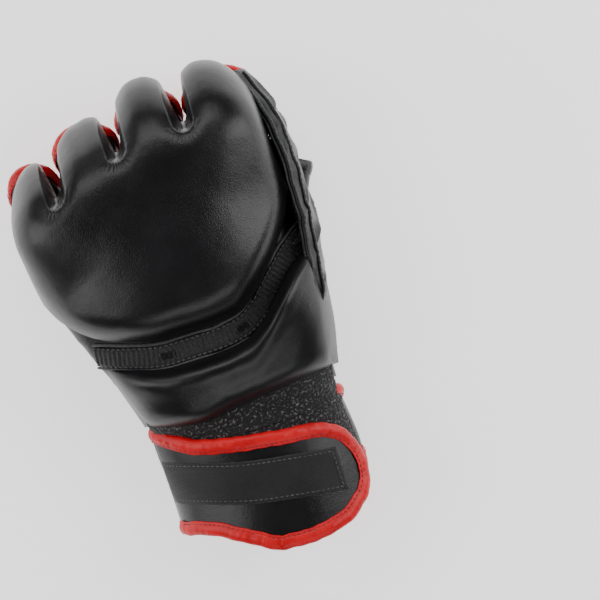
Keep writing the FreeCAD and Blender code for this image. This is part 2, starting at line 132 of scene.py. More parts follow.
def grid_normals(points, closed=False):
    """Unit normals of a grid of points, across its columns and along its rows."""
    if closed:
        wide = np.concatenate([points[:, -1:], points, points[:, :1]], axis=1)
        across = wide[:, 2:] - wide[:, :-2]
    else:
        across = np.gradient(points, axis=1)
    along = np.gradient(points, axis=0)
    normals = np.cross(across, along)
    return unit(normals)


# ---------------- meshes

def mesh_piece(name, points, faces, material, uvs=None):
    mesh = bpy.data.meshes.new(name)
    mesh.from_pydata(to_row(points).tolist(), [], faces)
    mesh.polygons.foreach_set("use_smooth", np.ones(len(mesh.polygons), bool))
    if uvs is not None:
        layer = mesh.uv_layers.new(name="UVMap")
        corners = np.zeros(len(mesh.loops), int)
        mesh.loops.foreach_get("vertex_index", corners)
        layer.data.foreach_set("uv", np.asarray(uvs)[corners].ravel())
    mesh.validate()
    piece = bpy.data.objects.new(name, mesh)
    bpy.context.scene.collection.objects.link(piece)
    piece.data.materials.append(material)
    return piece


def settle(piece, body, slot, *cad_nodes):
    """The piece rides a body and stands in for CAD nodes; the slot it is given is not used."""
    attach(piece, body)
    if cad_nodes:
        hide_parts(*cad_nodes)


def grid_faces(rows, columns, closed=False, keep=None):
    faces = []
    last = columns if closed else columns - 1
    for row in range(rows - 1):
        for column in range(last):
            if keep is not None and not keep[row, column]:
                continue
            right = (column + 1) % columns
            faces.append((row * columns + column, row * columns + right,
                          (row + 1) * columns + right, (row + 1) * columns + column))
    return faces


def grid_piece(name, points, material, closed=False, keep=None, thick=0.0, flip=False):
    """A surface through a grid of points. Thick turns it into a sheet that thickens inwards, in mm."""
    rows, columns = points.shape[:2]
    faces = grid_faces(rows, columns, closed, keep)
    if flip:
        faces = [face[::-1] for face in faces]
    along = np.cumsum(np.r_[0, np.linalg.norm(np.diff(points, axis=0), axis=-1).mean(axis=1)])
    across = np.cumsum(np.r_[0, np.linalg.norm(np.diff(points, axis=1), axis=-1).mean(axis=0)])
    uvs = np.stack(np.broadcast_arrays(across[None, :], along[:, None]), axis=-1).reshape(-1, 2) / 10
    piece = mesh_piece(name, points.reshape(-1, 3), faces, material, uvs)
    if thick:
        solid = piece.modifiers.new("sheet", "SOLIDIFY")
        solid.thickness = thick * MM
        solid.offset = -1
    return piece


def tube_along(name, path, radius, material, sides=8, closed=False, normals=None):
    """A round bead along a path."""
    path = np.asarray(path, float)
    if closed:
        ahead = np.roll(path, -1, axis=0) - np.roll(path, 1, axis=0)
    else:
        ahead = np.gradient(path, axis=0)
    ahead = unit(ahead)
    up = np.array(normals, float) if normals is not None else np.tile([0.0, 0.0, 1.0], (len(path), 1))
    side = np.cross(up, ahead)
    side = unit(side)
    up = np.cross(ahead, side)
    angle = full_turn(sides)
    ring = (path[:, None] + radius * np.cos(angle)[None, :, None] * side[:, None]
            + radius * np.sin(angle)[None, :, None] * up[:, None])
    if closed:
        ring = np.concatenate([ring, ring[:1]])
    return grid_piece(name, ring, material, closed=True, flip=True)


def resample(path, step, closed=False):
    """Points about one step apart along a path, and the distance to each."""
    path = np.asarray(path, float)
    if closed:
        path = np.concatenate([path, path[:1]])
    lengths = np.r_[0, np.cumsum(np.linalg.norm(np.diff(path, axis=0), axis=1))]
    count = max(2, int(round(lengths[-1] / step)))
    at = np.linspace(0, lengths[-1], count + 1)
    if closed:
        at = at[:-1]
    return np.stack([np.interp(at, lengths, path[:, i]) for i in range(3)], axis=1), at


def stitches(name, path, normals, material, pitch, thick, share=0.72, sink=0.1):
    """A row of thread stitches: one small rounded bead each, laid on a surface."""
    both = np.concatenate([path, normals], axis=1)
    lengths = np.r_[0, np.cumsum(np.linalg.norm(np.diff(path, axis=0), axis=1))]
    count = max(1, int(lengths[-1] / pitch))
    points, faces = [], []
    profile = ((-0.5, 0.25), (-0.36, 0.85), (0.0, 1.0), (0.36, 0.85), (0.5, 0.25))
    sides = 6
    for i in range(count):
        centre = (i + 0.5) * lengths[-1] / count
        for_ends = [np.interp(centre + end * pitch * share, lengths, both[:, k])
                    for end in (-0.5, 0.5) for k in range(6)]
        first, last = np.array(for_ends[:3]), np.array(for_ends[6:9])
        up = np.array(for_ends[3:6]) + np.array(for_ends[9:12])
        up = unit(up)
        ahead = last - first
        ahead = unit(ahead)
        side = np.cross(up, ahead)
        middle = (first + last) / 2 - up * sink
        base = len(points)
        for along, width in profile:
            for k in range(sides):
                turn = 2 * math.pi * k / sides
                points.append(middle + ahead * along * pitch * share
                              + (side * math.cos(turn) + up * math.sin(turn)) * thick * width)
        for row in range(len(profile) - 1):
            for k in range(sides):
                a, b = base + row * sides + k, base + row * sides + (k + 1) % sides
                faces.append((a, b, b + sides, a + sides))
        faces.append(tuple(base + k for k in range(sides))[::-1])
        faces.append(tuple(base + (len(profile) - 1) * sides + k for k in range(sides)))
    return mesh_piece(name, np.array(points), faces, material)


# ---------------- materials

def new_material(name, color, roughness, specular=0.5):
    material = bpy.data.materials.new(name)
    material.use_nodes = True
    shader = material.node_tree.nodes["Principled BSDF"]
    shader.inputs["Base Color"].default_value = (*color, 1)
    shader.inputs["Roughness"].default_value = roughness
    shader.inputs["Specular IOR Level"].default_value = specular
    return material, material.node_tree, shader


def node(tree, kind, inputs=None, **settings):
    made = tree.nodes.new(kind)
    for key, value in settings.items():
        setattr(made, key, value)
    for key, value in (inputs or {}).items():
        if isinstance(value, bpy.types.NodeSocket):
            tree.links.new(value, made.inputs[key])
        else:
            made.inputs[key].default_value = value
    return made


def place_coords(tree, scale=(1, 1, 1), kind="Object"):
    coords = tree.nodes.new("ShaderNodeTexCoord")
    mapping = node(tree, "ShaderNodeMapping", {"Vector": coords.outputs[kind], "Scale": scale})
    return mapping.outputs["Vector"]


def noise(tree, scale, detail, stretch=(1, 1, 1)):
    inputs = {"Vector": place_coords(tree, stretch), "Scale": scale, "Detail": detail}
    return node(tree, "ShaderNodeTexNoise", inputs).outputs["Fac"]


def waves(tree, scale, distortion, direction):
    inputs = {"Vector": place_coords(tree, kind="UV"), "Scale": scale, "Distortion": distortion,
              "Detail": 2.0}
    return node(tree, "ShaderNodeTexWave", inputs, bands_direction=direction).outputs["Fac"]


def color_between(tree, factor, low, high, first, second):
    ramp = node(tree, "ShaderNodeValToRGB", {"Fac": factor})
    ramp.color_ramp.elements[0].position = low
    ramp.color_ramp.elements[1].position = high
    ramp.color_ramp.elements[0].color = (*first, 1)
    ramp.color_ramp.elements[1].color = (*second, 1)
    return ramp.outputs["Color"]


def spread(tree, factor, low, high, to_low, to_high):
    return node(tree, "ShaderNodeMapRange", {"Value": factor, "From Min": low, "From Max": high,
                                             "To Min": to_low, "To Max": to_high}).outputs["Result"]


def bump(tree, height, distance, strength=1.0, normal=None):
    inputs = {"Height": height, "Distance": distance, "Strength": strength}
    if normal is not None:
        inputs["Normal"] = normal
    return node(tree, "ShaderNodeBump", inputs).outputs["Normal"]


def leather(name, color, light, roughness=(0.27, 0.37), grain=1.0, coat=0.10):
    """Smooth coated leather: pebbled pores, fine stretched creases and uneven gloss."""
    material, tree, shader = new_material(name, color, roughness[0], 0.34)
    broad = noise(tree, 38.0, 5.0)
    pores = node(tree, "ShaderNodeTexVoronoi", {"Vector": place_coords(tree), "Scale": 1150.0},
                 feature="DISTANCE_TO_EDGE")
    fine = noise(tree, 1500.0, 3.0, (1.0, 0.55, 1.0))
    soft = noise(tree, 210.0, 3.0)
    tree.links.new(color_between(tree, broad, 0.3, 0.75, color, light), shader.inputs["Base Color"])
    tree.links.new(spread(tree, broad, 0.3, 0.7, *roughness), shader.inputs["Roughness"])
    first = bump(tree, soft, 0.0004, 0.35 * grain)
    second = bump(tree, pores.outputs["Distance"], 0.00022, 0.38 * grain, first)
    tree.links.new(bump(tree, fine, 0.00014, 0.5 * grain, second), shader.inputs["Normal"])
    shader.inputs["Coat Weight"].default_value = coat
    shader.inputs["Coat Roughness"].default_value = 0.28
    return material


def cloth(name, color, light, scale=900.0, roughness=0.85, depth=0.0004, sheen=0.25, band=(0.42, 0.72)):
    """Matt cloth with a fine nap."""
    material, tree, shader = new_material(name, color, roughness, 0.25)
    nap = noise(tree, scale, 6.0)
    broad = noise(tree, scale / 8, 4.0)
    tree.links.new(color_between(tree, nap, *band, color, light), shader.inputs["Base Color"])
    first = bump(tree, broad, depth * 1.5, 0.5)
    tree.links.new(bump(tree, nap, depth, 0.9, first), shader.inputs["Normal"])
    shader.inputs["Sheen Weight"].default_value = sheen
    return material


def woven(name, color, light):
    """A flat woven band: ribs across, threads along."""
    material, tree, shader = new_material(name, color, 0.7, 0.3)
    ribs, threads = waves(tree, 4.2, 1.2, "X"), waves(tree, 5.4, 1.0, "Y")
    cross = node(tree, "ShaderNodeMath", {0: ribs, 1: threads}, operation="MULTIPLY")
    wear = noise(tree, 60.0, 5.0)
    tree.links.new(color_between(tree, wear, 0.35, 0.75, color, light), shader.inputs["Base Color"])
    tree.links.new(bump(tree, cross.outputs["Value"], 0.0004, 0.8), shader.inputs["Normal"])
    shader.inputs["Sheen Weight"].default_value = 0.15
    return material


def tape(name, color, fold_shade_color):
    """Red binding tape: smooth, slightly shiny, with darker patches from random noise as painted shade for
    its folds.
    """
    material, tree, shader = new_material(name, color, 0.38, 0.28)
    broad, fine = noise(tree, 120.0, 4.0), noise(tree, 1400.0, 3.0)
    # the darker colour is painted fold shade, spread in random noise patches
    tree.links.new(color_between(tree, broad, 0.3, 0.6, fold_shade_color, color), shader.inputs["Base Color"])
    tree.links.new(spread(tree, broad, 0.3, 0.7, 0.32, 0.46), shader.inputs["Roughness"])
    first = bump(tree, broad, 0.0005, 0.4)
    tree.links.new(bump(tree, fine, 0.00015, 0.5, first), shader.inputs["Normal"])
    return material


BLACK = leather("black_leather", (0.0045, 0.0045, 0.0052), (0.0080, 0.0080, 0.0092))
CREASED = leather("creased_leather", (0.0050, 0.0050, 0.0058), (0.0100, 0.0100, 0.0118), (0.26, 0.40), 1.6)
# the second colour is the red binding's painted fold shade
RED = tape("red_binding", (0.62, 0.0030, 0.0085), (0.46, 0.0020, 0.0055))
LINING = cloth("lining", (0.006, 0.006, 0.007), (0.016, 0.016, 0.018), sheen=0.1)
PILE = cloth("loop_pile", (0.006, 0.006, 0.007), (0.17, 0.165, 0.16), 820.0, depth=0.0011, band=(0.55, 0.74))
BAND = woven("woven_band", (0.007, 0.007, 0.008), (0.014, 0.014, 0.016))
RIBS = cloth("ribbed_band", (0.010, 0.010, 0.011), (0.045, 0.045, 0.048), scale=1600.0, roughness=0.6)
# black thread with its colours raised to grey as a painted highlight, so stitches, cords and bar tacks show
# as light lines
SHEEN_PAINTED_THREAD = cloth("black_thread_painted_sheen", (0.035, 0.035, 0.037), (0.13, 0.13, 0.135), scale=2600.0, roughness=0.6)
RED_THREAD = cloth("red_thread", (0.20, 0.004, 0.008), (0.34, 0.010, 0.016), scale=2600.0, roughness=0.6)
HOOKS = cloth("hook_tape", (0.012, 0.012, 0.012), (0.03, 0.03, 0.03), scale=1800.0, roughness=0.5)


# ---------------- the hand's shape

# the base leather's oval along the hand: its middle, half width and half height
BASE_Y = (66, 80, 120, 150, 200)
base_x = curve_through(BASE_Y, (-1, -3, -9, -13, -14))
base_z = curve_through(BASE_Y, (33, 39.7, 41, 41.5, 41.5))
base_wide = curve_through(BASE_Y, (43, 46, 56, 61, 62))
base_high = curve_through(BASE_Y, (21.5, 19.5, 19.5, 19.5, 19.5))

# plan of the knuckle pad: its sides, its rear edge, and where the knuckles bend
pad_left = curve_through((105, 128, 150, 175, 230), (-70, -73.5, -76.8, -78.3, -77.6))
pad_right = curve_through((105, 143, 163, 184, 230), (47.5, 48.6, 48.0, 47.3, 46.2))
rear_edge = curve_through(
    (-80, -76, -72, -60, -45, -26, -6, 8, 19, 29, 38, 44, 48, 54),
    (150, 140, 130.5, 118.6, 112, 107.6, 107.4, 109, 115.5, 125.5, 136.5, 145.5, 154, 168))
knuckle_y = curve_through((-77, -65, -36.4, -3.8, 31, 50), (163, 167, 178, 184, 184.5, 183))
GROOVES = ({"x": -52.4, "start": 9.0}, {"x": -20.4, "start": 11.0}, {"x": 12.2, "start": 12.0})
GROOVE_SHARES = [(groove["x"] + 78.2) / 125.3 for groove in GROOVES]     # of the pad's width at the knuckles
REACH = 45.0                 # radius that turns a lobe's droop angle into a distance
LOBE_END = math.radians(104)
REAR_ROLL = 15.0             # how far the pad's rear edge takes to roll up to full height


def pad_x(share):
    """About where a share of the pad's width is, in plan."""
    return -76.8 + 126.3 * share


def base_surface(x, y, side=1):
    """Height of the base leather's upper side, or with side -1 of its palm side."""
    across = np.clip((x - base_x(y)) / base_wide(y), -1, 1)
    return base_z(y) + side * base_high(y) * np.sqrt(1 - across ** 2)


def pad_columns():
    """Shares of the pad's width for its mesh columns, close together at the sides and the grooves."""
    even = (1 - np.cos(np.linspace(0, math.pi, 105))) / 2
    close = [share + np.linspace(-0.062, 0.062, 33) for share in GROOVE_SHARES]
    shares = np.unique(np.round(np.concatenate([even, *close]), 5))
    shares = shares[(shares >= 0) & (shares <= 1)]
    kept = [shares[0]]
    for share in shares[1:]:
        if share - kept[-1] > 0.0022 or share == 1.0:
            kept.append(share)
    kept = np.array(kept)
    for share in GROOVE_SHARES:
        kept[np.argmin(abs(kept - share))] = share
    return kept


def groove_cut(x, along):
    """How deep the grooves between the lobes cut in at a place on the pad."""
    total = np.zeros_like(x)
    for groove in GROOVES:
        behind = np.minimum(along - groove["start"] - 2.2, 0)
        apart = np.sqrt((x - groove["x"]) ** 2 + (behind * 0.9) ** 2)
        depth = 7.0 + 17.0 * smooth(groove["start"], groove["start"] + 26, along)
        total = np.maximum(total, depth * (1 - smooth(0.7, 6.2, apart)) ** 1.5)
        rear = np.minimum(along - groove["start"] - 6, 0) / 16.0
        wide = np.sqrt(((x - groove["x"]) / 13.0) ** 2 + rear ** 2)
        total = total + 2.6 * (1 - smooth(0.0, 1.0, wide))
    return total


def pucker(x, along):
    """Fine rays that fan out from the rear end of each groove."""
    total = np.zeros_like(x)
    for groove in GROOVES:
        dx, dy = x - groove["x"], along - groove["start"] - 1.5
        apart = np.hypot(dx, dy)
        angle = np.arctan2(dx, -dy)
        ring = smooth(2.4, 4.2, apart) * (1 - smooth(5.0, 10.5, apart))
        total += ring * np.cos(angle * 30 + 2.1 * np.sin(angle * 5)) * np.clip(1.25 - abs(angle) / 1.9, 0, 1)
    return total


def finger_bulge(share, droop):
    """Each lobe is fuller in its middle, and rounds off more and more towards its tip."""
    edges = [0.0, *GROOVE_SHARES, 1.0]
    total = np.zeros(np.broadcast(share, droop).shape)
    for low, high in zip(edges[:-1], edges[1:]):
        inside = (share >= low) & (share <= high)
        u = np.clip((share - (low + high) / 2) / ((high - low) / 2), -1, 1)
        tip = smooth(math.radians(25), math.radians(100), droop)
        loss = -1.6 * (1 - u ** 2) * smooth(0.0, math.radians(40), droop) + tip * 9.5 * abs(u) ** 3.2
        total = np.where(inside, loss, total)
    return total


def pad_surface(share, along):
    """The knuckle pad's outer skin. Share runs from the little-finger side to the thumb side. Along is the
    distance from the knuckles: behind them it is straight, and past them it turns down round the knuckles."""
    share, along = np.broadcast_arrays(np.asarray(share, float), np.asarray(along, float))
    droop = np.maximum(along, 0) / REACH
    hinge_y = knuckle_y(pad_x(share))
    y_flat = hinge_y + np.minimum(along, 0)
    y_plan = np.where(along > 0, hinge_y + 42 * np.sin(np.minimum(droop, 1.5)), y_flat)
    x = pad_left(y_plan) + (pad_right(y_plan) - pad_left(y_plan)) * share
    power = 2.35 + 0.75 * share + (2.6 - 0.9 * share) * smooth(-30, 22, along)
    shoulder = np.clip(1 - abs(2 * share - 1) ** power, 0, 1) ** (1 / power)
    crest = curve_through((100, 115, 135, 160, 185), (74, 80.2, 83.4, 84.4, 84.0))(y_flat)
    crest = crest - 3.0 * smooth(0.55, 1.0, share) * (1 - smooth(150, 185, y_flat))
    reach = curve_through((-14, 0, 10, 22, 36, 52, 70, 88, 98, 106),
                          (52.7, 52.5, 51.9, 50.2, 47.6, 45.6, 43.7, 41.0, 38.6, 35.5))
    top = (crest - KNUCKLE_Z) * np.where(along > 0, reach(np.degrees(droop)) / 52.5, 1.0)
    reach_share = curve_through((0, 0.10, 0.33, 0.46, 0.60, 0.85, 1.0),
                                (0.80, 0.87, 0.86, 0.92, 1.0, 1.0, 0.97))
    top = top * (1 - (1 - reach_share(share)) * smooth(-8, 42, along))
    seam = PALM_LEVEL - KNUCKLE_Z
    height = seam + (top - seam) * shoulder
    edge = y_flat - rear_edge(x)
    rolled = rounded(edge, REAR_ROLL, 2.3)
    floor = base_surface(x, y_flat) - KNUCKLE_Z - 1.0
    height = np.where(edge < REAR_ROLL, floor + (np.maximum(height, floor) - floor) * rolled, height)
    height = height - groove_cut(x, along) * shoulder ** 0.5 - finger_bulge(share, droop) * shoulder
    height = height + 0.22 * pucker(x, along)
    points = xyz(x, y_flat, KNUCKLE_Z + height)
    turned = xyz(x, hinge_y + height * np.sin(droop), KNUCKLE_Z + height * np.cos(droop))
    points = np.where((along > 0)[..., None], turned, points)
    dent = ripples(points, 46.0, 11) * 0.35 + ripples(points, 17.0, 12) * 0.10
    points[..., 2] += dent * smooth(2, 12, edge)
    return points


def pad_grid():
    shares = pad_columns()
    x = pad_x(shares)
    rear = rear_edge(np.clip(x, -77, 50)) - knuckle_y(x)
    back_rows = rear[None, :] * (1 - np.linspace(0, 1, 88)[:, None] ** 1.15)
    droop_rows = np.linspace(0, LOBE_END * REACH, 92)[1:, None] * np.ones(len(shares))
    along = np.concatenate([back_rows, droop_rows])
    points = pad_surface(shares[None, :], along)
    tip = points[-1]
    centre = xyz(tip[:, 0], knuckle_y(x), np.full(len(x), KNUCKLE_Z))
    lips = [tip + (centre - tip) * part for part in (0.05, 0.13, 0.24)]
    return shares, np.concatenate([points, np.array(lips)])


def finger_strips(name, shares, points, material):
    """Splits the pad at its grooves into one strip per finger, with the whole pad's normals on each."""
    normals = -grid_normals(points)
    if normals[len(points) // 3, len(shares) // 2, 2] < 0:
        normals = -normals
    cuts = [0, *[int(np.argmin(abs(shares - share))) for share in GROOVE_SHARES], len(shares) - 1]
    strips = []
    for finger, low, high in zip(FINGERS, cuts[:-1], cuts[1:]):
        part = points[:, low:high + 1]
        piece = grid_piece(f"{name}_{finger}", part, material)
        piece.data.normals_split_custom_set_from_vertices(normals[:, low:high + 1].reshape(-1, 3).tolist())
        strips.append(piece)
    return strips


def bend_at_knuckle(piece):
    """Bakes the piece's placement into its mesh; the piece is not bent."""
    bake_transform(piece)
    return piece


def make_knuckle_pad():
    shares, points = pad_grid()
    for finger, piece in zip(FINGERS, finger_strips("knuckle_pad", shares, points, BLACK)):
        bend_at_knuckle(piece)
        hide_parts(f"{finger}_lobe_shell", f"{finger}_lobe_foam")
        if finger == "middle":
            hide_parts("knuckle_pad_shell", "knuckle_pad_foam",
                        "middle_lobe_shell", "middle_lobe_foam")


def make_finger_webs():
    """The soft web between each two fingers, deep in the groove between their lobes."""
    for number, groove in enumerate(GROOVES):
        u = np.linspace(-1, 1, 26)[None, :]
        v = np.linspace(0, 1, 30)[:, None]
        hinge_y = float(knuckle_y(groove["x"]))
        y = hinge_y + 12.5 - 3.5 * v - 6.0 * (1 - u ** 2) * (1 - 0.35 * v)
        z = 60 - 34 * v + 2.2 * (1 - u ** 2)
        x = groove["x"] + (6.5 + 1.5 * v) * u
        points = xyz(x + 0 * v, y, z)
        points[..., 1] += 0.5 * ripples(points, 8.0, 15 + number)
        settle(grid_piece(f"finger_web_{number}", points, CREASED, thick=0.8), "hand", "black_leather")


# ---------------- lower pad, channel and ribbed band

CHANNEL = 12.0
band_edge = curve_through((-76, -60, -45, -26, -6, 8, 19, 29, 40, 50, 60),
                          (129, 118, 112, 107.6, 107.4, 109, 115.5, 125.5, 136, 143, 147))
low_left = curve_through((60, 73, 95, 112, 125), (-46, -48.8, -55.5, -61.5, -63))
low_right = curve_through((60, 76, 95, 115, 140), (43.5, 46.3, 50.4, 52.4, 53.0))
low_rear = curve_through((-50, -36, -20, -5, 15, 45), (73, 69.0, 66.3, 68.4, 70.4, 73.6))


def lower_pad_surface(share, depth):
    """The lower pad: share across, depth from its rear edge (0) to the channel (1)."""
    share, depth = np.broadcast_arrays(np.asarray(share, float), np.asarray(depth, float))
    guess = -52 + 102 * share
    y = low_rear(guess) + (band_edge(guess) - CHANNEL - low_rear(guess)) * depth
    x = low_left(y) + (low_right(y) - low_left(y)) * share
    y = low_rear(x) + (band_edge(x) - CHANNEL - low_rear(x)) * depth
    front, back = band_edge(x) - CHANNEL - y, y - low_rear(x)
    left, right = x - low_left(y), low_right(y) - x
    floor = base_surface(x, y) - 0.8
    crest = curve_through((64, 80, 100, 125, 140), (63, 68.5, 72.5, 75.5, 76.5))(y)
    power = 2.4
    across = abs(2 * share - 1)
    high = PALM_LEVEL + (crest - PALM_LEVEL) * np.clip(1 - across ** power, 0, 1) ** (1 / power)
    high = np.maximum(high, floor + 3.0)
    high = high + 2.2 * np.exp(-((front - 9.0) / 6.0) ** 2)
    high = high + 3.0 * np.exp(-((x - 36) / 12.0) ** 2 - ((y - 106) / 16.0) ** 2)
    roll = rounded(front, 8.0) * rounded(back, 9.0) * rounded(left, 7.0) * rounded(right, 7.0)
    z = floor + (high - floor) * roll
    points = xyz(x, y, z)
    points[..., 2] += (ripples(points, 34.0, 21) * 0.35 + ripples(points, 12.0, 22) * 0.10) * roll
    return points


def make_lower_pad():
    shares = (1 - np.cos(np.linspace(0, math.pi, 120))) / 2
    depths = (1 - np.cos(np.linspace(0, math.pi, 64))) / 2
    piece = grid_piece("lower_pad", lower_pad_surface(shares[None, :], depths[:, None]), BLACK)
    settle(piece, "hand", "black_leather")
    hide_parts("lower_pad_shell", "lower_pad_foam")


def band_path(back):
    """A line parallel to the knuckle pad's rear edge, on the base leather, with its normals."""
    x = np.linspace(-59, 47.5, 240)
    y = band_edge(x) - back
    path = xyz(x, y, base_surface(x, y))
    path, _ = resample(path, 0.55)
    x, y = path[:, 0], path[:, 1]
    step = 0.5
    normals = xyz(-(base_surface(x + step, y) - base_surface(x - step, y)) / (2 * step),
                  -(base_surface(x, y + step) - base_surface(x, y - step)) / (2 * step),
                  np.ones(len(x)))
    normals = np.clip(normals, -2.2, 2.2)
    return path, unit(normals)


def make_flex_band():
    """The ribbed band in the channel, its two topstitch lines, and the raised cords beside them."""
    middle, normals = band_path(6.2)
    at = np.r_[0, np.cumsum(np.linalg.norm(np.diff(middle, axis=0), axis=1))]
    ahead = np.gradient(middle, axis=0)
    ahead = unit(ahead)
    side = np.cross(ahead, normals)
    across = np.linspace(-4.6, 4.6, 17)
    rib = 0.85 * np.abs(np.sin(math.pi * at / 2.3)) ** 0.8
    rise = (1.4 + rib[:, None] * smooth(4.3, 3.3, abs(across))[None, :]
            - 0.5 * smooth(3.9, 4.6, abs(across))[None, :])
    points = middle[:, None] + side[:, None] * across[None, :, None] + normals[:, None] * rise[..., None]
    settle(grid_piece("flex_band", points, RIBS), "hand", "ribbed_band", "flex_rib_strip")
    for name, offset in (("rear", -4.3), ("front", 4.3)):
        line = middle + side * offset + normals * 1.75
        settle(stitches(f"flex_band_stitch_{name}", line, normals, SHEEN_PAINTED_THREAD, 2.5, 0.38),
               "hand", "thread")
    for name, offset in (("rear", -6.0), ("front", 5.9)):
        wander = side * (0.35 * ripples(middle, 14.0, 25))[:, None]
        line = middle + side * offset + wander + normals * 1.2
        settle(tube_along(f"flex_band_cord_{name}", line, 0.62, SHEEN_PAINTED_THREAD, normals=normals), "hand", "thread")


def make_bar_tacks():
    """Dense thread bars at the ends of the ribbed band."""
    path, normals = band_path(6.2)
    for number, x in enumerate((-27.0, 9.0, 44.0)):
        i = int(np.argmin(abs(path[:, 0] - x)))
        ahead = path[i + 1] - path[i - 1]
        ahead = unit(ahead)
        side = np.cross(ahead, normals[i])
        zigzag = []
        for step in range(24):
            along = (step - 12) * 0.30
            zigzag.append(path[i] + ahead * along + side * (1.5 if step % 2 else -1.5) + normals[i] * 2.35)
        tack = tube_along(f"bar_tack_{number}", np.array(zigzag), 0.26, SHEEN_PAINTED_THREAD, sides=6,
                          normals=np.tile(normals[i], (24, 1)))
        settle(tack, "hand", "thread")
        if number == 0:
            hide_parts("bar_tacks")


# ---------------- base leather: sides and palm

def base_point(angle, y, grow=0.0):
    """The hand's oval: angle from the thumb side over the back of the hand."""
    return xyz(base_x(y) + (base_wide(y) + grow) * np.cos(angle), y + 0 * angle,
               base_z(y) + (base_high(y) + grow) * np.sin(angle))


OPENING = ((-50, 118), (-46, 138), (-30, 151), (-4, 155), (20, 154), (34, 149), (32, 141), (16, 133),
           (5, 118), (-2, 101), (-14, 84), (-26, 80), (-40, 94))


def closed_curve(points):
    """A smooth closed line through points, evenly spaced."""
    points = np.array(points, float)
    total = len(points)
    out = []
    for i in range(total):
        p0, p1, p2, p3 = (points[(i + k - 1) % total] for k in range(4))
        t = np.linspace(0, 1, 24, endpoint=False)[:, None]
        out.append(0.5 * (2 * p1 + (p2 - p0) * t + (2 * p0 - 5 * p1 + 4 * p2 - p3) * t ** 2
                          + (3 * p1 - p0 - 3 * p2 + p3) * t ** 3))
    out = np.concatenate(out)
    flat = np.concatenate([out, np.zeros((len(out), 1))], axis=1)
    line, _ = resample(flat, 1.0, closed=True)
    return line[:, :2]


def inside_outline(x, y, outline):
    """Whether plan points lie inside a closed outline."""
    inside = np.zeros(np.shape(x), bool)
    last = outline[-1]
    for point in outline:
        crosses = (point[1] > y) != (last[1] > y)
        slope = (last[0] - point[0]) / (last[1] - point[1] if last[1] != point[1] else 1e-9)
        inside ^= crosses & (x < slope * (y - point[1]) + point[0])
        last = point
    return inside


THUMB_BASE = np.array([11.0, 89.0])
THUMB_MOUTH = 14.0


def from_thumb_axis(points):
    return np.hypot(points[..., 0] - THUMB_BASE[0], points[..., 1] - THUMB_BASE[1])


def base_wrinkles(points):
    """Soft creases of thin leather, running mostly across the hand."""
    stretched = points * np.array([0.45, 1.0, 1.0])
    ridges = 1 - abs(ripples(stretched, 15.0, 31))
    where = smooth(-0.3, 0.6, ripples(points, 40.0, 33))
    return 0.55 * ripples(points, 22.0, 32) + 0.5 * np.clip(ridges, -1, 1) * where


def make_hand_skin():
    angle = full_turn(240)
    hinge = knuckle_y(base_x(170.0) + base_wide(170.0) * np.cos(angle))
    sine = np.sin(angle)
    front = hinge - np.where(sine > 0, 2.0, 17.0) + 15 * smooth(0.25, 0.0, abs(sine)) * (sine < 0)
    rear = 66 + np.where(sine > 0, 4.0, 6.0) * abs(sine) + 1.5
    rows = np.linspace(0, 1, 130)[:, None]
    y = rear[None, :] + (front - rear)[None, :] * rows
    points = base_point(np.broadcast_to(angle, y.shape), y)
    normals = -grid_normals(points, closed=True)
    centre = xyz(base_x(y), y, base_z(y))
    outward = np.sign(((points - centre) * normals).sum(axis=-1, keepdims=True))
    normals = normals * outward
    below = smooth(0.2, -0.3, np.sin(angle))[None, :]
    side = smooth(0.75, 0.2, abs(np.sin(angle)))[None, :]
    points = points + normals * (base_wrinkles(points) * np.maximum(below, side) * 0.8)[..., None]
    outline = closed_curve(OPENING)
    middle = (points[:-1] + points[1:]) / 2
    middle = (middle + np.roll(middle, -1, axis=1)) / 2
    palm = middle[..., 2] < base_z(middle[..., 1])
    hole = palm & inside_outline(middle[..., 0], middle[..., 1], outline)
    thumb_hole = palm & (from_thumb_axis(middle) < THUMB_MOUTH)
    skin = grid_piece("hand_skin", points, CREASED, closed=True, keep=~(hole | thumb_hole), flip=True)
    settle(skin, "hand", "black_leather", "back_panel", "thumb_side_panel", "little_side_panel",
           "palm_panel_heel", "palm_panel_upper")
    inner = base_point(np.broadcast_to(angle, y.shape), y, -2.2)
    settle(grid_piece("hand_lining_cloth", inner, LINING, closed=True, keep=~(hole | thumb_hole)),
           "hand", "lining", "hand_lining")


side_out = curve_through((92, 106, 118, 130, 150, 170, 188, 204, 216, 224),
                         (48.5, 51.5, 53.6, 55.2, 57.2, 57.8, 56.4, 52.4, 47.0, 41.5))
side_level = curve_through((92, 120, 150, 180, 200, 224), (44, 45, 46, 44, 37, 25))


def side_fold_point(y, turn, out=0.0):
    """The loose panel down the thumb side: its outline in plan, turning from its top edge to the palm."""
    drop = smooth(180, 224, y)
    tall = np.where(turn > 0, 15.0 - 4.0 * drop, 21.0 - 8.0 * drop)
    x = side_out(y) - 10.5 * (1 - np.cos(turn)) + out * np.cos(turn)
    z = side_level(y) + (tall + out) * np.sin(turn)
    return xyz(x, y + 0 * turn, z)


def side_fold_surface(y, turn, out=0.0):
    """The loose panel with its slanting creases."""
    points = side_fold_point(y, turn, out)
    slant = points[..., 1] * 0.42 + points[..., 2] * 0.75 + 2.2 * ripples(points, 30.0, 41)
    ridge = 1 - abs(np.sin(slant * 0.30))
    strong = 0.35 + 0.65 * smooth(-0.4, 0.5, ripples(points, 34.0, 42))
    ends = smooth(92, 112, y) * (1 - smooth(206, 217, y))
    crease = (2.0 * ridge ** 2.2 * strong - 0.8 + 0.5 * ripples(points, 13.0, 43)) * ends
    points[..., 0] += crease * np.cos(turn) ** 0.5
    points[..., 2] += 0.6 * crease * np.sin(turn)
    points[..., 0] -= 6.0 * smooth(108, 92, y)
    return points


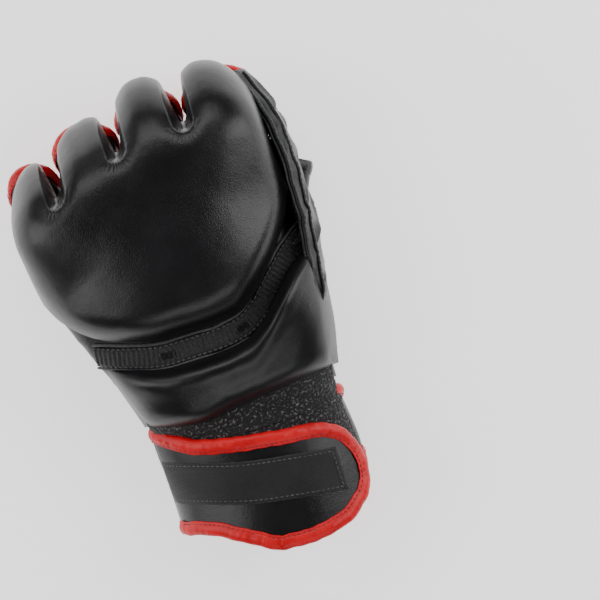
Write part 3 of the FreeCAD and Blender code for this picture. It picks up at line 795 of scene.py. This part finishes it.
def make_side_fold():
    """Loose leather down the thumb side, with a doubled edge, slanting creases and a stitched seam."""
    y = np.linspace(92, 217, 190)[:, None]
    turn = np.linspace(math.radians(78), math.radians(-82), 70)[None, :]
    points = side_fold_surface(y + 0 * turn, turn + 0 * y)
    panel = grid_piece("thumb_side_leather", points, CREASED, thick=1.3)
    bend_at_knuckle(panel)
    path_y = np.linspace(97, 215, 150)
    for number, (angle, out, radius) in enumerate(((66, 0.2, 1.3), (38, 0.1, 0.9))):
        line = side_fold_surface(path_y, np.full(150, math.radians(angle)), out)
        edge = tube_along(f"thumb_side_fold_{number}", line, radius, CREASED)
        bend_at_knuckle(edge)
        face = np.tile([math.cos(math.radians(angle)), 0.0, math.sin(math.radians(angle))], (150, 1))
        line = line + face * (radius + 0.05)
        thread = stitches(f"thumb_side_stitch_{number}", line, face, SHEEN_PAINTED_THREAD, 2.6, 0.3)
        bend_at_knuckle(thread)


def palm_height(x, y):
    """Height of the base leather's palm side."""
    return base_surface(x, y, -1)


TAPE_PROFILE_DEPTH = 5.6


def fold_tape(name, rim, inward, normal, seed, material=RED, closed=True, wall=1.7,
              depth=TAPE_PROFILE_DEPTH, full=1.0):
    """Binding tape folded over a rim. Inward points from the rim into the sheet, normal out of its face."""
    along = np.r_[0, np.cumsum(np.linalg.norm(np.diff(rim, axis=0), axis=1))]
    outer_d = np.array([depth, depth - 0.25, depth - 0.9, depth - 1.5, depth * 0.55, depth * 0.28, 0.2, -0.7])
    outer_n = np.array([0.25, 0.75, 0.62, 0.95, 1.45, 1.5, 1.05, 0.35]) * full
    profile_d = np.r_[outer_d, [-1.0], outer_d[::-1]]
    profile_n = np.r_[outer_n, [-wall / 2], -wall - outer_n[::-1]]
    pull = (0.07 * np.sin(2 * math.pi * along / 3.1) + 0.12 * ripples(rim, 9.0, seed)
            + 0.09 * ripples(rim, 4.0, seed + 1))
    loose = np.r_[[0, 0.1, 0.3, 0.5], np.ones(len(profile_d) - 8), [0.5, 0.3, 0.1, 0]]
    swell = 1 + pull[:, None] * loose[None, :] * 0.5
    n = -wall / 2 + (profile_n + wall / 2)[None, :] * swell
    d = profile_d[None, :] + 0.18 * ripples(rim, 7.0, seed + 2)[:, None]
    points = rim[:, None] + inward[:, None] * d[..., None] + normal[:, None] * n[..., None]
    if closed:
        points = np.concatenate([points, points[:1]])
    return grid_piece(name, points, material)


def ring_closed(*rows):
    """Each row of points with its first point again at its end."""
    return [np.concatenate([row, row[:1]]) for row in rows]


def tape_stitch(name, rim, inward, normal, at=TAPE_PROFILE_DEPTH - 1.25):
    line = rim + inward * at + normal * 0.86
    return stitches(name, line, normal, RED_THREAD, 2.4, 0.30)


def make_opening_tape():
    outline = closed_curve(OPENING)
    x, y = outline[:, 0], outline[:, 1]
    rim = xyz(x, y, palm_height(x, y))
    ahead = np.roll(rim, -1, axis=0) - np.roll(rim, 1, axis=0)
    step = 0.5
    normal = xyz((palm_height(x + step, y) - palm_height(x - step, y)),
                 (palm_height(x, y + step) - palm_height(x, y - step)), -np.ones(len(x)) * 2 * step)
    normal = unit(normal)
    inward = np.cross(ahead, normal)
    inward = unit(inward)
    centre = rim.mean(axis=0)
    if ((rim - centre) * inward).sum() < 0:
        inward = -inward
    settle(fold_tape("palm_opening_tape", rim, inward, normal, seed=51),
           "hand", "red_binding", "palm_opening_binding")
    settle(tape_stitch("palm_opening_stitch", *ring_closed(rim, inward, normal)), "hand", "red_binding")


# ---------------- finger loops

LOOP = {   # side limits and side gap of each loop, as in its hinge frame
    "index": (13.0, 49.5, 2.2), "middle": (-20.2, 12.6, 2.0),
    "ring": (-52.2, -20.6, 1.6), "little": (-77.6, -52.6, 1.2)}
LOOP_HIGH = 13.5
LOOP_TOP, LOOP_PALM = 38.0, 30.0


def from_finger(finger, local):
    """From a finger's frame (across, along, up from its hinge) to the hand's."""
    hinge = HINGES[f"{finger}_curl"]
    across, along, up = local[..., 0], local[..., 1], local[..., 2]
    return xyz(across, hinge[1] + along * math.cos(DROOP) + up * math.sin(DROOP),
               hinge[2] - along * math.sin(DROOP) + up * math.cos(DROOP))


def loop_oval(finger):
    low, high, gap = LOOP[finger]
    return (low + high) / 2, (high - low) / 2 - gap + 0.6


def loop_front(up):
    return (LOOP_TOP + LOOP_PALM) / 2 + (LOOP_TOP - LOOP_PALM) / 2 * up / LOOP_HIGH


def make_loop(finger, number):
    centre, wide = loop_oval(finger)
    angle = full_turn(96)
    share = np.linspace(0, 1, 44)[:, None]
    up = LOOP_HIGH * np.sin(angle)
    start = np.where(up > 0, 6.0, 3.0)
    along = start + (loop_front(up) - start) * share
    local = xyz(centre + wide * np.cos(angle) + 0 * along, along, up + 0 * along)
    points = from_finger(finger, local)
    middle = from_finger(finger, xyz(np.full_like(along, centre), along, 0 * along))
    outward = points - middle
    outward = unit(outward)
    crease = (ripples(points * np.array([0.6, 1, 1]), 9.0, 60 + number) * 0.55
              + ripples(points, 18.0, 70 + number) * 0.5)
    points = points + outward * (crease * smooth(0, 0.3, share) * smooth(1.0, 0.7, share))[..., None]
    settle(grid_piece(f"{finger}_loop_leather", points, CREASED, closed=True, flip=True),
           finger, "black_leather", f"{finger}_loop")
    inner = points - outward * 2.2
    settle(grid_piece(f"{finger}_loop_cloth", inner, LINING, closed=True),
           finger, "lining", f"{finger}_loop_lining")
    rim, normal = points[-1], outward[-1]
    inward = points[-6] - points[-1]
    inward = unit(inward)
    settle(fold_tape(f"{finger}_loop_tape", rim, inward, normal, wall=2.0, seed=80 + number),
           finger, "red_binding", f"{finger}_loop_binding")
    settle(tape_stitch(f"{finger}_loop_stitch", *ring_closed(rim, inward, normal)), finger, "red_binding")


def palm_side_angles(finger):
    """The stretch of the hand's oval that belongs to a finger, over the palm side."""
    low, high, _ = LOOP[finger]
    y = HINGES[f"{finger}_curl"][1] - 20

    def angle_at(x):
        return -np.arccos(np.clip((x - base_x(y)) / base_wide(y), -1, 1))
    first = -math.pi - 0.12 if finger == "little" else angle_at(low - 0.2)
    last = 0.12 if finger == "index" else angle_at(high + 0.2)
    return first, last


def make_palm_bridge(finger, number):
    """Leather from the palm to a finger loop, over the knuckle's palm side."""
    centre, _ = loop_oval(finger)
    first, last = palm_side_angles(finger)
    q = np.linspace(0, 1, 60)
    t = np.linspace(0, 1, 40)[:, None]
    angle = first + (last - first) * q
    y0 = HINGES[f"{finger}_curl"][1] - 20
    start = base_point(angle, np.full(len(q), y0), 0.15)
    turn = -math.pi - 0.25 + (math.pi + 0.5) * q
    low, high, _ = LOOP[finger]
    local = xyz(centre + ((high - low) / 2 + 0.3) * np.cos(turn), np.full(len(q), 5.0),
                (LOOP_HIGH + 0.3) * np.sin(turn))
    end = from_finger(finger, local)
    pull = 16.0
    go = np.array([0.0, 1.0, 0.0]) * pull
    arrive = np.array([0.0, math.cos(DROOP), -math.sin(DROOP)]) * pull
    h00, h10 = 2 * t ** 3 - 3 * t ** 2 + 1, t ** 3 - 2 * t ** 2 + t
    h01, h11 = -2 * t ** 3 + 3 * t ** 2, t ** 3 - t ** 2
    points = (h00[..., None] * start + h10[..., None] * go + h01[..., None] * end + h11[..., None] * arrive)
    fold = ripples(points * np.array([0.5, 1.3, 1.0]), 7.5, 90 + number)
    fold = fold * 0.8 + ripples(points, 16.0, 95 + number) * 0.6
    points[..., 2] += fold * smooth(0, 0.15, t) * smooth(1, 0.8, t)
    bridge = grid_piece(f"{finger}_palm_bridge", points, CREASED, thick=1.2)
    bend_at_knuckle(bridge)
    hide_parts(f"{finger}_flex_web")


# ---------------- thumb tube

THUMB_LEAN = math.radians(25)
THUMB_Z = HINGES["thumb_swing"][2]
THUMB_LENGTH = 92.0


def from_thumb(local):
    across, along, up = local[..., 0], local[..., 1], local[..., 2]
    return xyz(THUMB_BASE[0] + across * math.cos(THUMB_LEAN) + along * math.sin(THUMB_LEAN),
               THUMB_BASE[1] - across * math.sin(THUMB_LEAN) + along * math.cos(THUMB_LEAN),
               THUMB_Z + up)


def make_thumb():
    angle = full_turn(96)
    heel_rows = 15.2 * -np.cos(np.linspace(0, math.pi / 2, 16))
    along = np.concatenate([heel_rows, np.linspace(0, THUMB_LENGTH, 92)[1:]])[:, None]
    heel = np.sqrt(np.clip(1 - (np.minimum(along, 0) / 15.4) ** 2, 0.0, 1))
    wide = curve_through((-16, 30, 65, 92), (15.3, 15.6, 15.0, 14.3))(along) * heel
    high = curve_through((-16, 20, 65, 92), (9.9, 9.9, 9.7, 9.4))(along) * heel
    power = 0.9
    cosine, sine = np.cos(angle), np.sin(angle)
    local = xyz(wide * np.sign(cosine) * abs(cosine) ** power, along + 0 * angle,
                high * np.sign(sine) * abs(sine) ** power)
    points = from_thumb(local)
    middle = from_thumb(xyz(0 * along + 0 * angle, along + 0 * angle, 0 * along + 0 * angle))
    outward = points - middle
    outward = unit(outward)
    fold = np.sin(local[..., 1] * 0.75 + 1.3 * ripples(points, 26.0, 101))
    near = smooth(-10, 4, along) * (1 - smooth(16, 44, along))
    crease = 0.55 * fold * near + 0.5 * ripples(points, 20.0, 102) * smooth(92, 66, along)
    points = points + outward * (crease * smooth(-15, -8, along))[..., None]
    low = points[..., 2] < 0.6
    points[..., 2] = np.where(low, 0.6 + (points[..., 2] - 0.6) * 0.15, points[..., 2])
    cell = (points[:-1] + points[1:]) / 2
    port = (from_thumb_axis(cell) < THUMB_MOUTH - 2) & (cell[..., 2] > THUMB_Z)
    settle(grid_piece("thumb_leather", points, CREASED, closed=True, keep=~port, flip=True),
           "thumb", "black_leather", "thumb_tube")
    inner = points - outward * 2.0
    settle(grid_piece("thumb_cloth", inner, LINING, closed=True, keep=~port),
           "thumb", "lining", "thumb_tube_lining")
    rim, normal = points[-1], outward[-1]
    inward = np.tile(-np.array([math.sin(THUMB_LEAN), math.cos(THUMB_LEAN), 0.0]), (len(rim), 1))
    settle(fold_tape("thumb_hem_fold", rim, inward, normal, 110, CREASED, wall=1.9, depth=6.0, full=0.55),
           "thumb", "black_leather", "thumb_hem")
    line = ring_closed(rim, inward, normal)
    path = line[0] + line[1] * 4.6 + line[2] * 0.55
    settle(stitches("thumb_hem_stitch", path, line[2], SHEEN_PAINTED_THREAD, 2.6, 0.3), "thumb", "thread")
    make_thumb_ring()


def downwards(line):
    return np.tile([0.0, 0.0, -1.0], (len(line), 1))


def make_thumb_ring():
    """Two stitched, rolled seams round the thumb hole, and the soft wall between the palm and the tube."""
    angle = full_turn(90)
    x = THUMB_BASE[0] + (THUMB_MOUTH + 1.2) * np.cos(angle)
    y = THUMB_BASE[1] + (THUMB_MOUTH + 1.2) * np.sin(angle)
    top = palm_height(x, y)
    low = np.minimum(THUMB_Z + 7.6, top)
    wall = np.stack([xyz(x, y, low + (top + 0.6 - low) * part) for part in np.linspace(0, 1, 8)])
    wall[..., :2] += 0.35 * np.sin(angle * 9)[None, :, None] * (wall[..., :2] - THUMB_BASE) / 14
    settle(grid_piece("thumb_seam_wall", wall, CREASED, closed=True, thick=1.0, flip=True),
           "hand", "black_leather", "thumb_seam_ring")
    for number, grow in enumerate((1.6, 4.0)):
        ring_x = THUMB_BASE[0] + (THUMB_MOUTH + grow) * np.cos(angle)
        ring_y = THUMB_BASE[1] + (THUMB_MOUTH + grow) * np.sin(angle)
        ring = xyz(ring_x, ring_y, palm_height(ring_x, ring_y) - 0.5)
        settle(tube_along(f"thumb_seam_bead_{number}", ring, 0.8, CREASED, closed=True),
               "hand", "black_leather")
        line = np.concatenate([ring, ring[:1]]) - np.array([0, 0, 0.75])
        settle(stitches(f"thumb_seam_stitch_{number}", line, downwards(line), SHEEN_PAINTED_THREAD, 2.6, 0.3),
               "hand", "thread")


# ---------------- cuff

CUFF_Y = (0, 31, 63)
cuff_x = curve_through(CUFF_Y, (0, 1, -1))
cuff_z = curve_through(CUFF_Y, (26.2, 26.2, 28.5))
cuff_wide = curve_through(CUFF_Y, (44, 43, 42.5))
cuff_high = curve_through(CUFF_Y, (27, 26.6, 25))


def cuff_point(angle, y, grow=0.0):
    """The cuff's oval, flattened where it lies on the surface."""
    y = y + 0 * angle
    z = cuff_z(y) + (cuff_high(y) + grow) * np.sin(angle)
    return xyz(cuff_x(y) + (cuff_wide(y) + grow) * np.cos(angle), y, np.maximum(z, 1.3))


def cuff_rear(angle):
    """The cuff's rear edge follows the strap's, just inside it."""
    shares = np.linspace(0, 1, 300)
    edge = strap_surface(shares, 0 * shares)
    behind = np.interp(44 * np.cos(angle), edge[:, 0], edge[:, 1])
    return behind + 0.9 + 1.2 * smooth(-0.75, 0.15, np.sin(angle))


def make_cuff():
    angle = full_turn(180)
    rear = cuff_rear(angle)
    y = rear[None, :] + (62 - rear)[None, :] * np.linspace(0, 1, 70)[:, None]
    points = cuff_point(angle[None, :], y)
    centre = xyz(cuff_x(y), y, cuff_z(y))
    outward = unit(points - centre)
    crease = ripples(points * np.array([1.0, 0.55, 1.0]), 16.0, 120) * 0.5 + ripples(points, 33.0, 121) * 0.6
    shaped = points + outward * (crease * smooth(3.0, 14.0, points[..., 2]))[..., None]
    settle(grid_piece("cuff_leather", shaped, CREASED, closed=True, flip=True),
           "cuff", "black_leather", "cuff_shell")
    inner = cuff_point(angle[None, :], y, -2.2) + np.array([0, 0, 0.9])
    settle(grid_piece("cuff_cloth", inner, LINING, closed=True), "cuff", "lining", "cuff_lining")
    rim, normal = points[0], outward[0]
    ahead = np.roll(rim, -1, axis=0) - np.roll(rim, 1, axis=0)
    inward = np.cross(ahead, normal)
    inward *= np.sign(inward[:, 1:2]) / np.linalg.norm(inward, axis=1, keepdims=True)
    tape_rim = rim - normal * 0.2
    tape_rim[:, 2] = np.maximum(tape_rim[:, 2], 1.7)
    settle(fold_tape("cuff_rear_tape", tape_rim, inward, normal, wall=2.0, seed=130),
           "cuff", "red_binding", "cuff_bottom_binding")
    settle(tape_stitch("cuff_rear_stitch", *ring_closed(tape_rim, inward, normal)), "cuff", "red_binding")
    make_cuff_front_tape()
    make_box_patch()


def make_cuff_front_tape():
    """Red tape along the cuff's front edge on the palm side, turning up the thumb side."""
    angle = np.linspace(math.radians(-168), math.radians(22), 170)
    y = 61.0 + 3.0 * smooth(-0.9, 0.4, angle)
    rim = cuff_point(angle, y, 1.3)
    centre = xyz(cuff_x(y), y, cuff_z(y))
    normal = rim - centre
    normal = unit(normal)
    inward = np.tile([0.0, -1.0, 0.0], (len(rim), 1))
    rim[:, 2] = np.maximum(rim[:, 2], 2.6)
    settle(fold_tape("cuff_front_tape", rim, inward, normal, closed=False, wall=2.0, seed=140),
           "cuff", "red_binding", "cuff_top_binding")
    settle(tape_stitch("cuff_front_stitch", rim, inward, normal), "cuff", "red_binding")
    slit_y = np.linspace(68, 99, 60)
    slit_angle = np.full(60, math.radians(-16.0)) + 0.10 * np.sin(np.linspace(0, 2.2, 60))
    rim = base_point(slit_angle, slit_y, 0.9)
    normal = rim - xyz(base_x(slit_y), slit_y, base_z(slit_y))
    normal = unit(normal)
    ahead = np.gradient(rim, axis=0)
    inward = np.cross(ahead, normal)
    inward = unit(inward)
    settle(fold_tape("side_slit_tape", rim, inward, normal, closed=False, wall=0.8, seed=145),
           "hand", "red_binding", "side_slit_binding")


def cuff_floor(x, y):
    across = np.clip((x - cuff_x(y)) / cuff_wide(y), -1, 1)
    return cuff_z(y) - cuff_high(y) * np.sqrt(1 - across ** 2)


def make_box_patch():
    """A small leather tab on the palm side of the cuff, sewn round its edge."""
    u, v = np.linspace(0, 1, 24)[None, :], np.linspace(0, 1, 44)[:, None]
    left, right, rear, front = 19.5, 33.5, 17.0, 50.0
    x, y = left + (right - left) * u + 0 * v, rear + (front - rear) * v + 0 * u
    edge = np.minimum(np.minimum(x - left, right - x), np.minimum(y - rear, front - y))
    points = xyz(x, y, cuff_floor(x, y) - 0.2 - 1.2 * rounded(edge, 2.0))
    settle(grid_piece("cuff_tab", points, CREASED, flip=True), "cuff", "black_leather", "cuff_box_patch")
    low_x, high_x, low_y, high_y = 21.3, 31.7, 18.8, 48.2
    frame_x = np.r_[np.full(30, low_x), np.linspace(low_x, high_x, 12),
                    np.full(30, high_x), np.linspace(high_x, low_x, 12)]
    frame_y = np.r_[np.linspace(low_y, high_y, 30), np.full(12, high_y),
                    np.linspace(high_y, low_y, 30), np.full(12, low_y)]
    line = xyz(frame_x, frame_y, cuff_floor(frame_x, frame_y) - 1.45)
    settle(stitches("cuff_tab_stitch", line, downwards(line), SHEEN_PAINTED_THREAD, 2.6, 0.32), "cuff", "thread")


def wrist_surface(angle, share, lift=0.0):
    """From the cuff's front (share 0) over the wrist line to the hand (share 1)."""
    angle, share = np.broadcast_arrays(angle, share)
    top = smooth(-0.2, 0.5, np.sin(angle))
    y0 = 57.0 + 0 * angle
    y1 = 74.0 + 4.0 * (1 - top)
    first, last = cuff_point(angle, y0, 0.5), base_point(angle, y1, 0.3)
    t = (share * share * (3 - 2 * share))[..., None]
    points = first + (last - first) * t
    points[..., 1] = y0 + (y1 - y0) * share
    centre = xyz(cuff_x(y0), points[..., 1], (cuff_z(y0) * (1 - share) + base_z(y1) * share))
    outward = unit(points - centre)
    return points + outward * (lift - 1.1 * np.sin(math.pi * share))[..., None]


def bend_at_wrist(piece):
    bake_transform(piece)
    return piece


def make_wrist():
    angle = full_turn(160)
    share = np.linspace(0, 1, 34)[:, None]
    points = wrist_surface(angle[None, :], share)
    fold = ripples(points * np.array([0.4, 1.6, 0.4]), 6.0, 150) * np.sin(math.pi * share)
    centre = np.array([-1.0, 66.0, 31.0])
    outward = (points - centre) * np.array([1, 0, 1])
    outward = unit(outward)
    points = points + outward * (0.7 * fold)[..., None]
    gusset = grid_piece("wrist_leather", points, CREASED, closed=True, flip=True)
    bend_at_wrist(gusset)
    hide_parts("wrist_gusset")


def make_loop_panel():
    """Fuzzy loop pile over the back of the cuff, running under the lower pad."""
    angle = np.linspace(math.radians(17), math.radians(163), 150)
    rear = cuff_rear(angle) + 7
    y = rear[None, :] + (57 - rear)[None, :] * np.linspace(0, 1, 60)[:, None]
    points = cuff_point(angle[None, :], y, 1.6)
    settle(grid_piece("loop_panel_cuff", points, PILE, flip=True, thick=1.0),
           "cuff", "loop_pile", "cuff_loop_panel")
    share = np.linspace(0, 1, 30)[:, None]
    points = wrist_surface(angle[None, :], share, 1.9)
    upper = grid_piece("loop_panel_wrist", points, PILE, flip=True, thick=0.8)
    bend_at_wrist(upper)


# ---------------- wrap strap

STRAP_START, STRAP_END = -47.0, 43.5
STRAP_TIP = 17.0             # length of the strap's rounded free end
STRAP_LIFT = 4.2             # its outer face over the cuff
strap_rear = curve_through((-60, -44, -33, -18, -3, 12, 26, 36), (24, 19.5, 16.5, 8.0, 1.0, 0.5, 3.0, 7.5))
strap_front = curve_through((-60, -49, -38, -27.6, -10, 5, 20, 36),
                            (72, 71, 65, 59.5, 55.5, 53.0, 51.2, 49.0))


def cuff_lay(x, y, grow):
    """The angle round the cuff over a plan point, and the height of something laid there."""
    angle = np.arccos(np.clip((x - cuff_x(y)) / (cuff_wide(y) + 5.2), -1, 1))
    return angle, cuff_z(y) + (cuff_high(y) + grow) * np.sin(angle)


def strap_surface(share, across, lift=0.0):
    """The strap's outer face: share from the sewn end to the free end, across from its rear to front edge."""
    share, across = np.broadcast_arrays(np.asarray(share, float), np.asarray(across, float))
    x = STRAP_START + (STRAP_END - STRAP_START) * share
    end = np.clip((x - (STRAP_END - STRAP_TIP)) / STRAP_TIP, 0, 1)
    closing = np.sqrt(np.clip(1 - end ** 2.6, 0, 1))
    rear, front = strap_rear(x), strap_front(x)
    middle = (rear + front) / 2 - 1.5 * end
    y = middle + (front - rear) / 2 * closing * (2 * across - 1)
    _, z = cuff_lay(x, np.clip(y, 0, 63), STRAP_LIFT + lift)
    return xyz(x, y, z)


def strap_rim(count=170):
    """The strap's edge from the sewn end along the front edge, round the free end and back."""
    out = np.linspace(0, 1, count) ** 0.75
    front = strap_surface(out, np.ones(count))
    rear = strap_surface(out[::-1], np.zeros(count))
    path, _ = resample(np.concatenate([front, rear[1:]]), 1.0)
    return path


def lay_on_strap(path, grow):
    """Moves plan points onto the strap's face."""
    x, y = path[:, 0], np.clip(path[:, 1], 0, 63)
    angle, z = cuff_lay(x, y, grow)
    normal = xyz(np.cos(angle) / (cuff_wide(y)), 0 * x, np.sin(angle) / cuff_high(y))
    normal = unit(normal)
    return xyz(x, path[:, 1], z), normal


def ride_strap(piece):
    """Bakes the piece's placement into its mesh; the strap does not turn or bend."""
    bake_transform(piece)
    return piece


def make_strap():
    share = 1 - (1 - np.linspace(0, 1, 150)) ** 1.5
    across = (1 - np.cos(np.linspace(0, math.pi, 60))) / 2
    points = strap_surface(share[None, :], across[:, None])
    swell = 0.30 * np.sin(math.pi * across)[:, None] + 0.14 * ripples(points, 24.0, 160)
    points[..., 2] += swell
    face = grid_piece("strap_leather", points, BLACK, thick=2.6, flip=False)
    ride_strap(face)
    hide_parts("strap_shell")
    rim = strap_rim()
    rim, normal = lay_on_strap(rim, STRAP_LIFT + 0.1)
    ahead = np.gradient(rim, axis=0)
    inward = np.cross(ahead, normal)
    inward = unit(inward)
    centre = np.array([0.0, 30.0, 50.0])
    if ((centre - rim) * inward).sum() < 0:
        inward = -inward
    binding = fold_tape("strap_tape", rim, inward, normal, closed=False, wall=2.7, depth=6.0, seed=170)
    ride_strap(binding)
    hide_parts("strap_binding")
    ride_strap(tape_stitch("strap_tape_stitch", rim, inward, normal, at=4.7))
    make_strap_band()
    make_hook_patch()
    make_strap_root()


def make_strap_root():
    """The strap's sewn end, which curves in to the little-finger side of the cuff and stays with it."""
    angle = np.linspace(math.radians(164), math.radians(208), 40)[None, :]
    share = np.linspace(0, 1, 60)[:, None]
    y = 20.5 + (70.0 - 20.5) * share + 0 * angle
    lift = 3.6 - 3.2 * smooth(math.radians(172), math.radians(206), angle)
    lift = lift * rounded(np.minimum(y - 20.4, 70.1 - y), 2.0)
    grow = lift + 0.35 * ripples(cuff_point(angle + 0 * y, y), 18.0, 175)
    points = xyz(cuff_x(y) + (cuff_wide(y) + grow) * np.cos(angle), y,
                 cuff_z(y) + (cuff_high(y) + grow) * np.sin(angle))
    settle(grid_piece("strap_root", points, BLACK, thick=1.0), "cuff", "black_leather")
    line = points[3:-3, 34]
    face = xyz(np.cos(angle[0, 34]) + 0 * line[:, 0], 0 * line[:, 0], np.sin(angle[0, 34]) + 0 * line[:, 0])
    settle(stitches("strap_root_stitch", line + face * 0.15, face, SHEEN_PAINTED_THREAD, 2.6, 0.34),
           "cuff", "thread")


band_middle = curve_through((-50, -33, -10, 10, 36), (46.0, 41.0, 34.5, 31.0, 27.0))


def make_strap_band():
    """The woven band along the strap, sewn down round its edge."""
    u = np.linspace(0, 1, 150)[None, :]
    v = np.linspace(-1, 1, 40)[:, None]
    half, start, end = 10.2, -46.5, 32.5
    x = start + (end - start) * u + 0 * v
    y = band_middle(x) + half * v
    flat = xyz(x, y, 0 * x).reshape(-1, 3)
    edge = np.minimum(half * (1 - abs(v)) + 0 * x, end - x)
    rise = STRAP_LIFT + 0.55 + 0.9 * rounded(edge, 1.1)
    laid, normal = lay_on_strap(flat, rise.reshape(-1))
    points = laid.reshape(x.shape + (3,))
    points[..., 2] += 0.22 * ripples(points, 20.0, 180)
    band = grid_piece("strap_band_weave", points, BAND, flip=False)
    ride_strap(band)
    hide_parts("strap_band")
    start, end, half = -45, 30.5, 8.4
    line_x = np.r_[np.linspace(start, end, 90), np.full(24, end), np.linspace(end, start, 90)]
    line_y = np.r_[band_middle(line_x[:90]) + half,
                   np.linspace(band_middle(end) + half, band_middle(end) - half, 24),
                   band_middle(line_x[-90:]) - half]
    line, normal = lay_on_strap(xyz(line_x, line_y, 0 * line_x), STRAP_LIFT + 1.6)
    ride_strap(stitches("strap_band_stitch", line, normal, SHEEN_PAINTED_THREAD, 2.4, 0.28))


def make_hook_patch():
    """Hook tape under the strap's free end."""
    u, v = np.linspace(0, 1, 60)[None, :], np.linspace(0, 1, 40)[:, None]
    x, y = 2 + 33 * u + 0 * v, 16 + 28 * v + 0 * u
    laid, _ = lay_on_strap(xyz(x, y, 0 * x).reshape(-1, 3), 1.9 + 0 * x.reshape(-1))
    points = laid.reshape(x.shape + (3,))
    patch = grid_piece("strap_hooks", points, HOOKS, flip=True, thick=0.6)
    ride_strap(patch)
    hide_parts("strap_hook_patch")


# ---------------- stage, light and camera

def make_stage():
    mesh = bpy.data.meshes.new("floor")
    size = 3.0
    corners = [(-size, -size, 0), (size, -size, 0), (size, size, 0), (-size, size, 0)]
    mesh.from_pydata(corners, [], [(0, 1, 2, 3)])
    floor = bpy.data.objects.new("floor", mesh)
    bpy.context.scene.collection.objects.link(floor)
    floor.location.z = -0.0005
    material, _, shader = new_material("pale_floor", (0.86, 0.86, 0.86), 0.9, 0.1)
    shader.inputs["Emission Color"].default_value = (1, 1, 1, 1)
    shader.inputs["Emission Strength"].default_value = 1.05
    floor.data.materials.append(material)
    world = bpy.data.worlds.new("studio")
    world.use_nodes = True
    world.node_tree.nodes["Background"].inputs["Color"].default_value = (1, 1, 1, 1)
    world.node_tree.nodes["Background"].inputs["Strength"].default_value = 0.06
    bpy.context.scene.world = world


def add_light(name, spot, target, size, power):
    data = bpy.data.lights.new(name, "AREA")
    data.shape = "RECTANGLE"
    data.size, data.size_y = size
    data.energy = power
    light = bpy.data.objects.new(name, data)
    light.location = spot
    light.rotation_euler = (Vector(target) - Vector(spot)).to_track_quat("-Z", "Y").to_euler()
    bpy.context.scene.collection.objects.link(light)


VIEW_TILT = math.radians(18)         # how far the glove leans to the left in the picture


def make_camera():
    data = bpy.data.cameras.new("camera")
    data.sensor_width = 36
    frame_width, distance = 0.276, 1.30
    data.lens = data.sensor_width * distance / frame_width
    camera = bpy.data.objects.new("camera", data)
    middle = to_row((37.7, 106.6, 45.0))
    right = Vector((math.cos(VIEW_TILT), -math.sin(VIEW_TILT), 0))
    up = Vector((math.sin(VIEW_TILT), math.cos(VIEW_TILT), 0))
    camera.matrix_world = Matrix(((right.x, up.x, 0, middle[0]), (right.y, up.y, 0, middle[1]),
                                  (0, 0, 1, middle[2] + distance), (0, 0, 0, 1)))
    bpy.context.scene.collection.objects.link(camera)
    bpy.context.scene.camera = camera


def make_lights():
    add_light("left_box", (-0.75, 0.15, 0.55), (0, 0, 0.04), (0.7, 0.9), 6.5)
    add_light("right_box", (0.75, 0.10, 0.50), (0, 0, 0.04), (0.5, 0.9), 6.0)
    add_light("front_box", (0.10, -0.70, 0.70), (0, 0, 0.04), (0.9, 0.4), 2.6)
    add_light("rear_box", (0.0, 0.75, 0.75), (0, 0, 0.04), (0.9, 0.4), 4.0)


make_knuckle_pad()
make_finger_webs()
make_lower_pad()
make_flex_band()
make_bar_tacks()
make_hand_skin()
make_side_fold()
make_opening_tape()
for index, finger_name in enumerate(FINGERS):
    make_loop(finger_name, index)
    make_palm_bridge(finger_name, index)
make_thumb()
make_cuff()
make_wrist()
make_loop_panel()
make_strap()
make_stage()
make_camera()
make_lights()
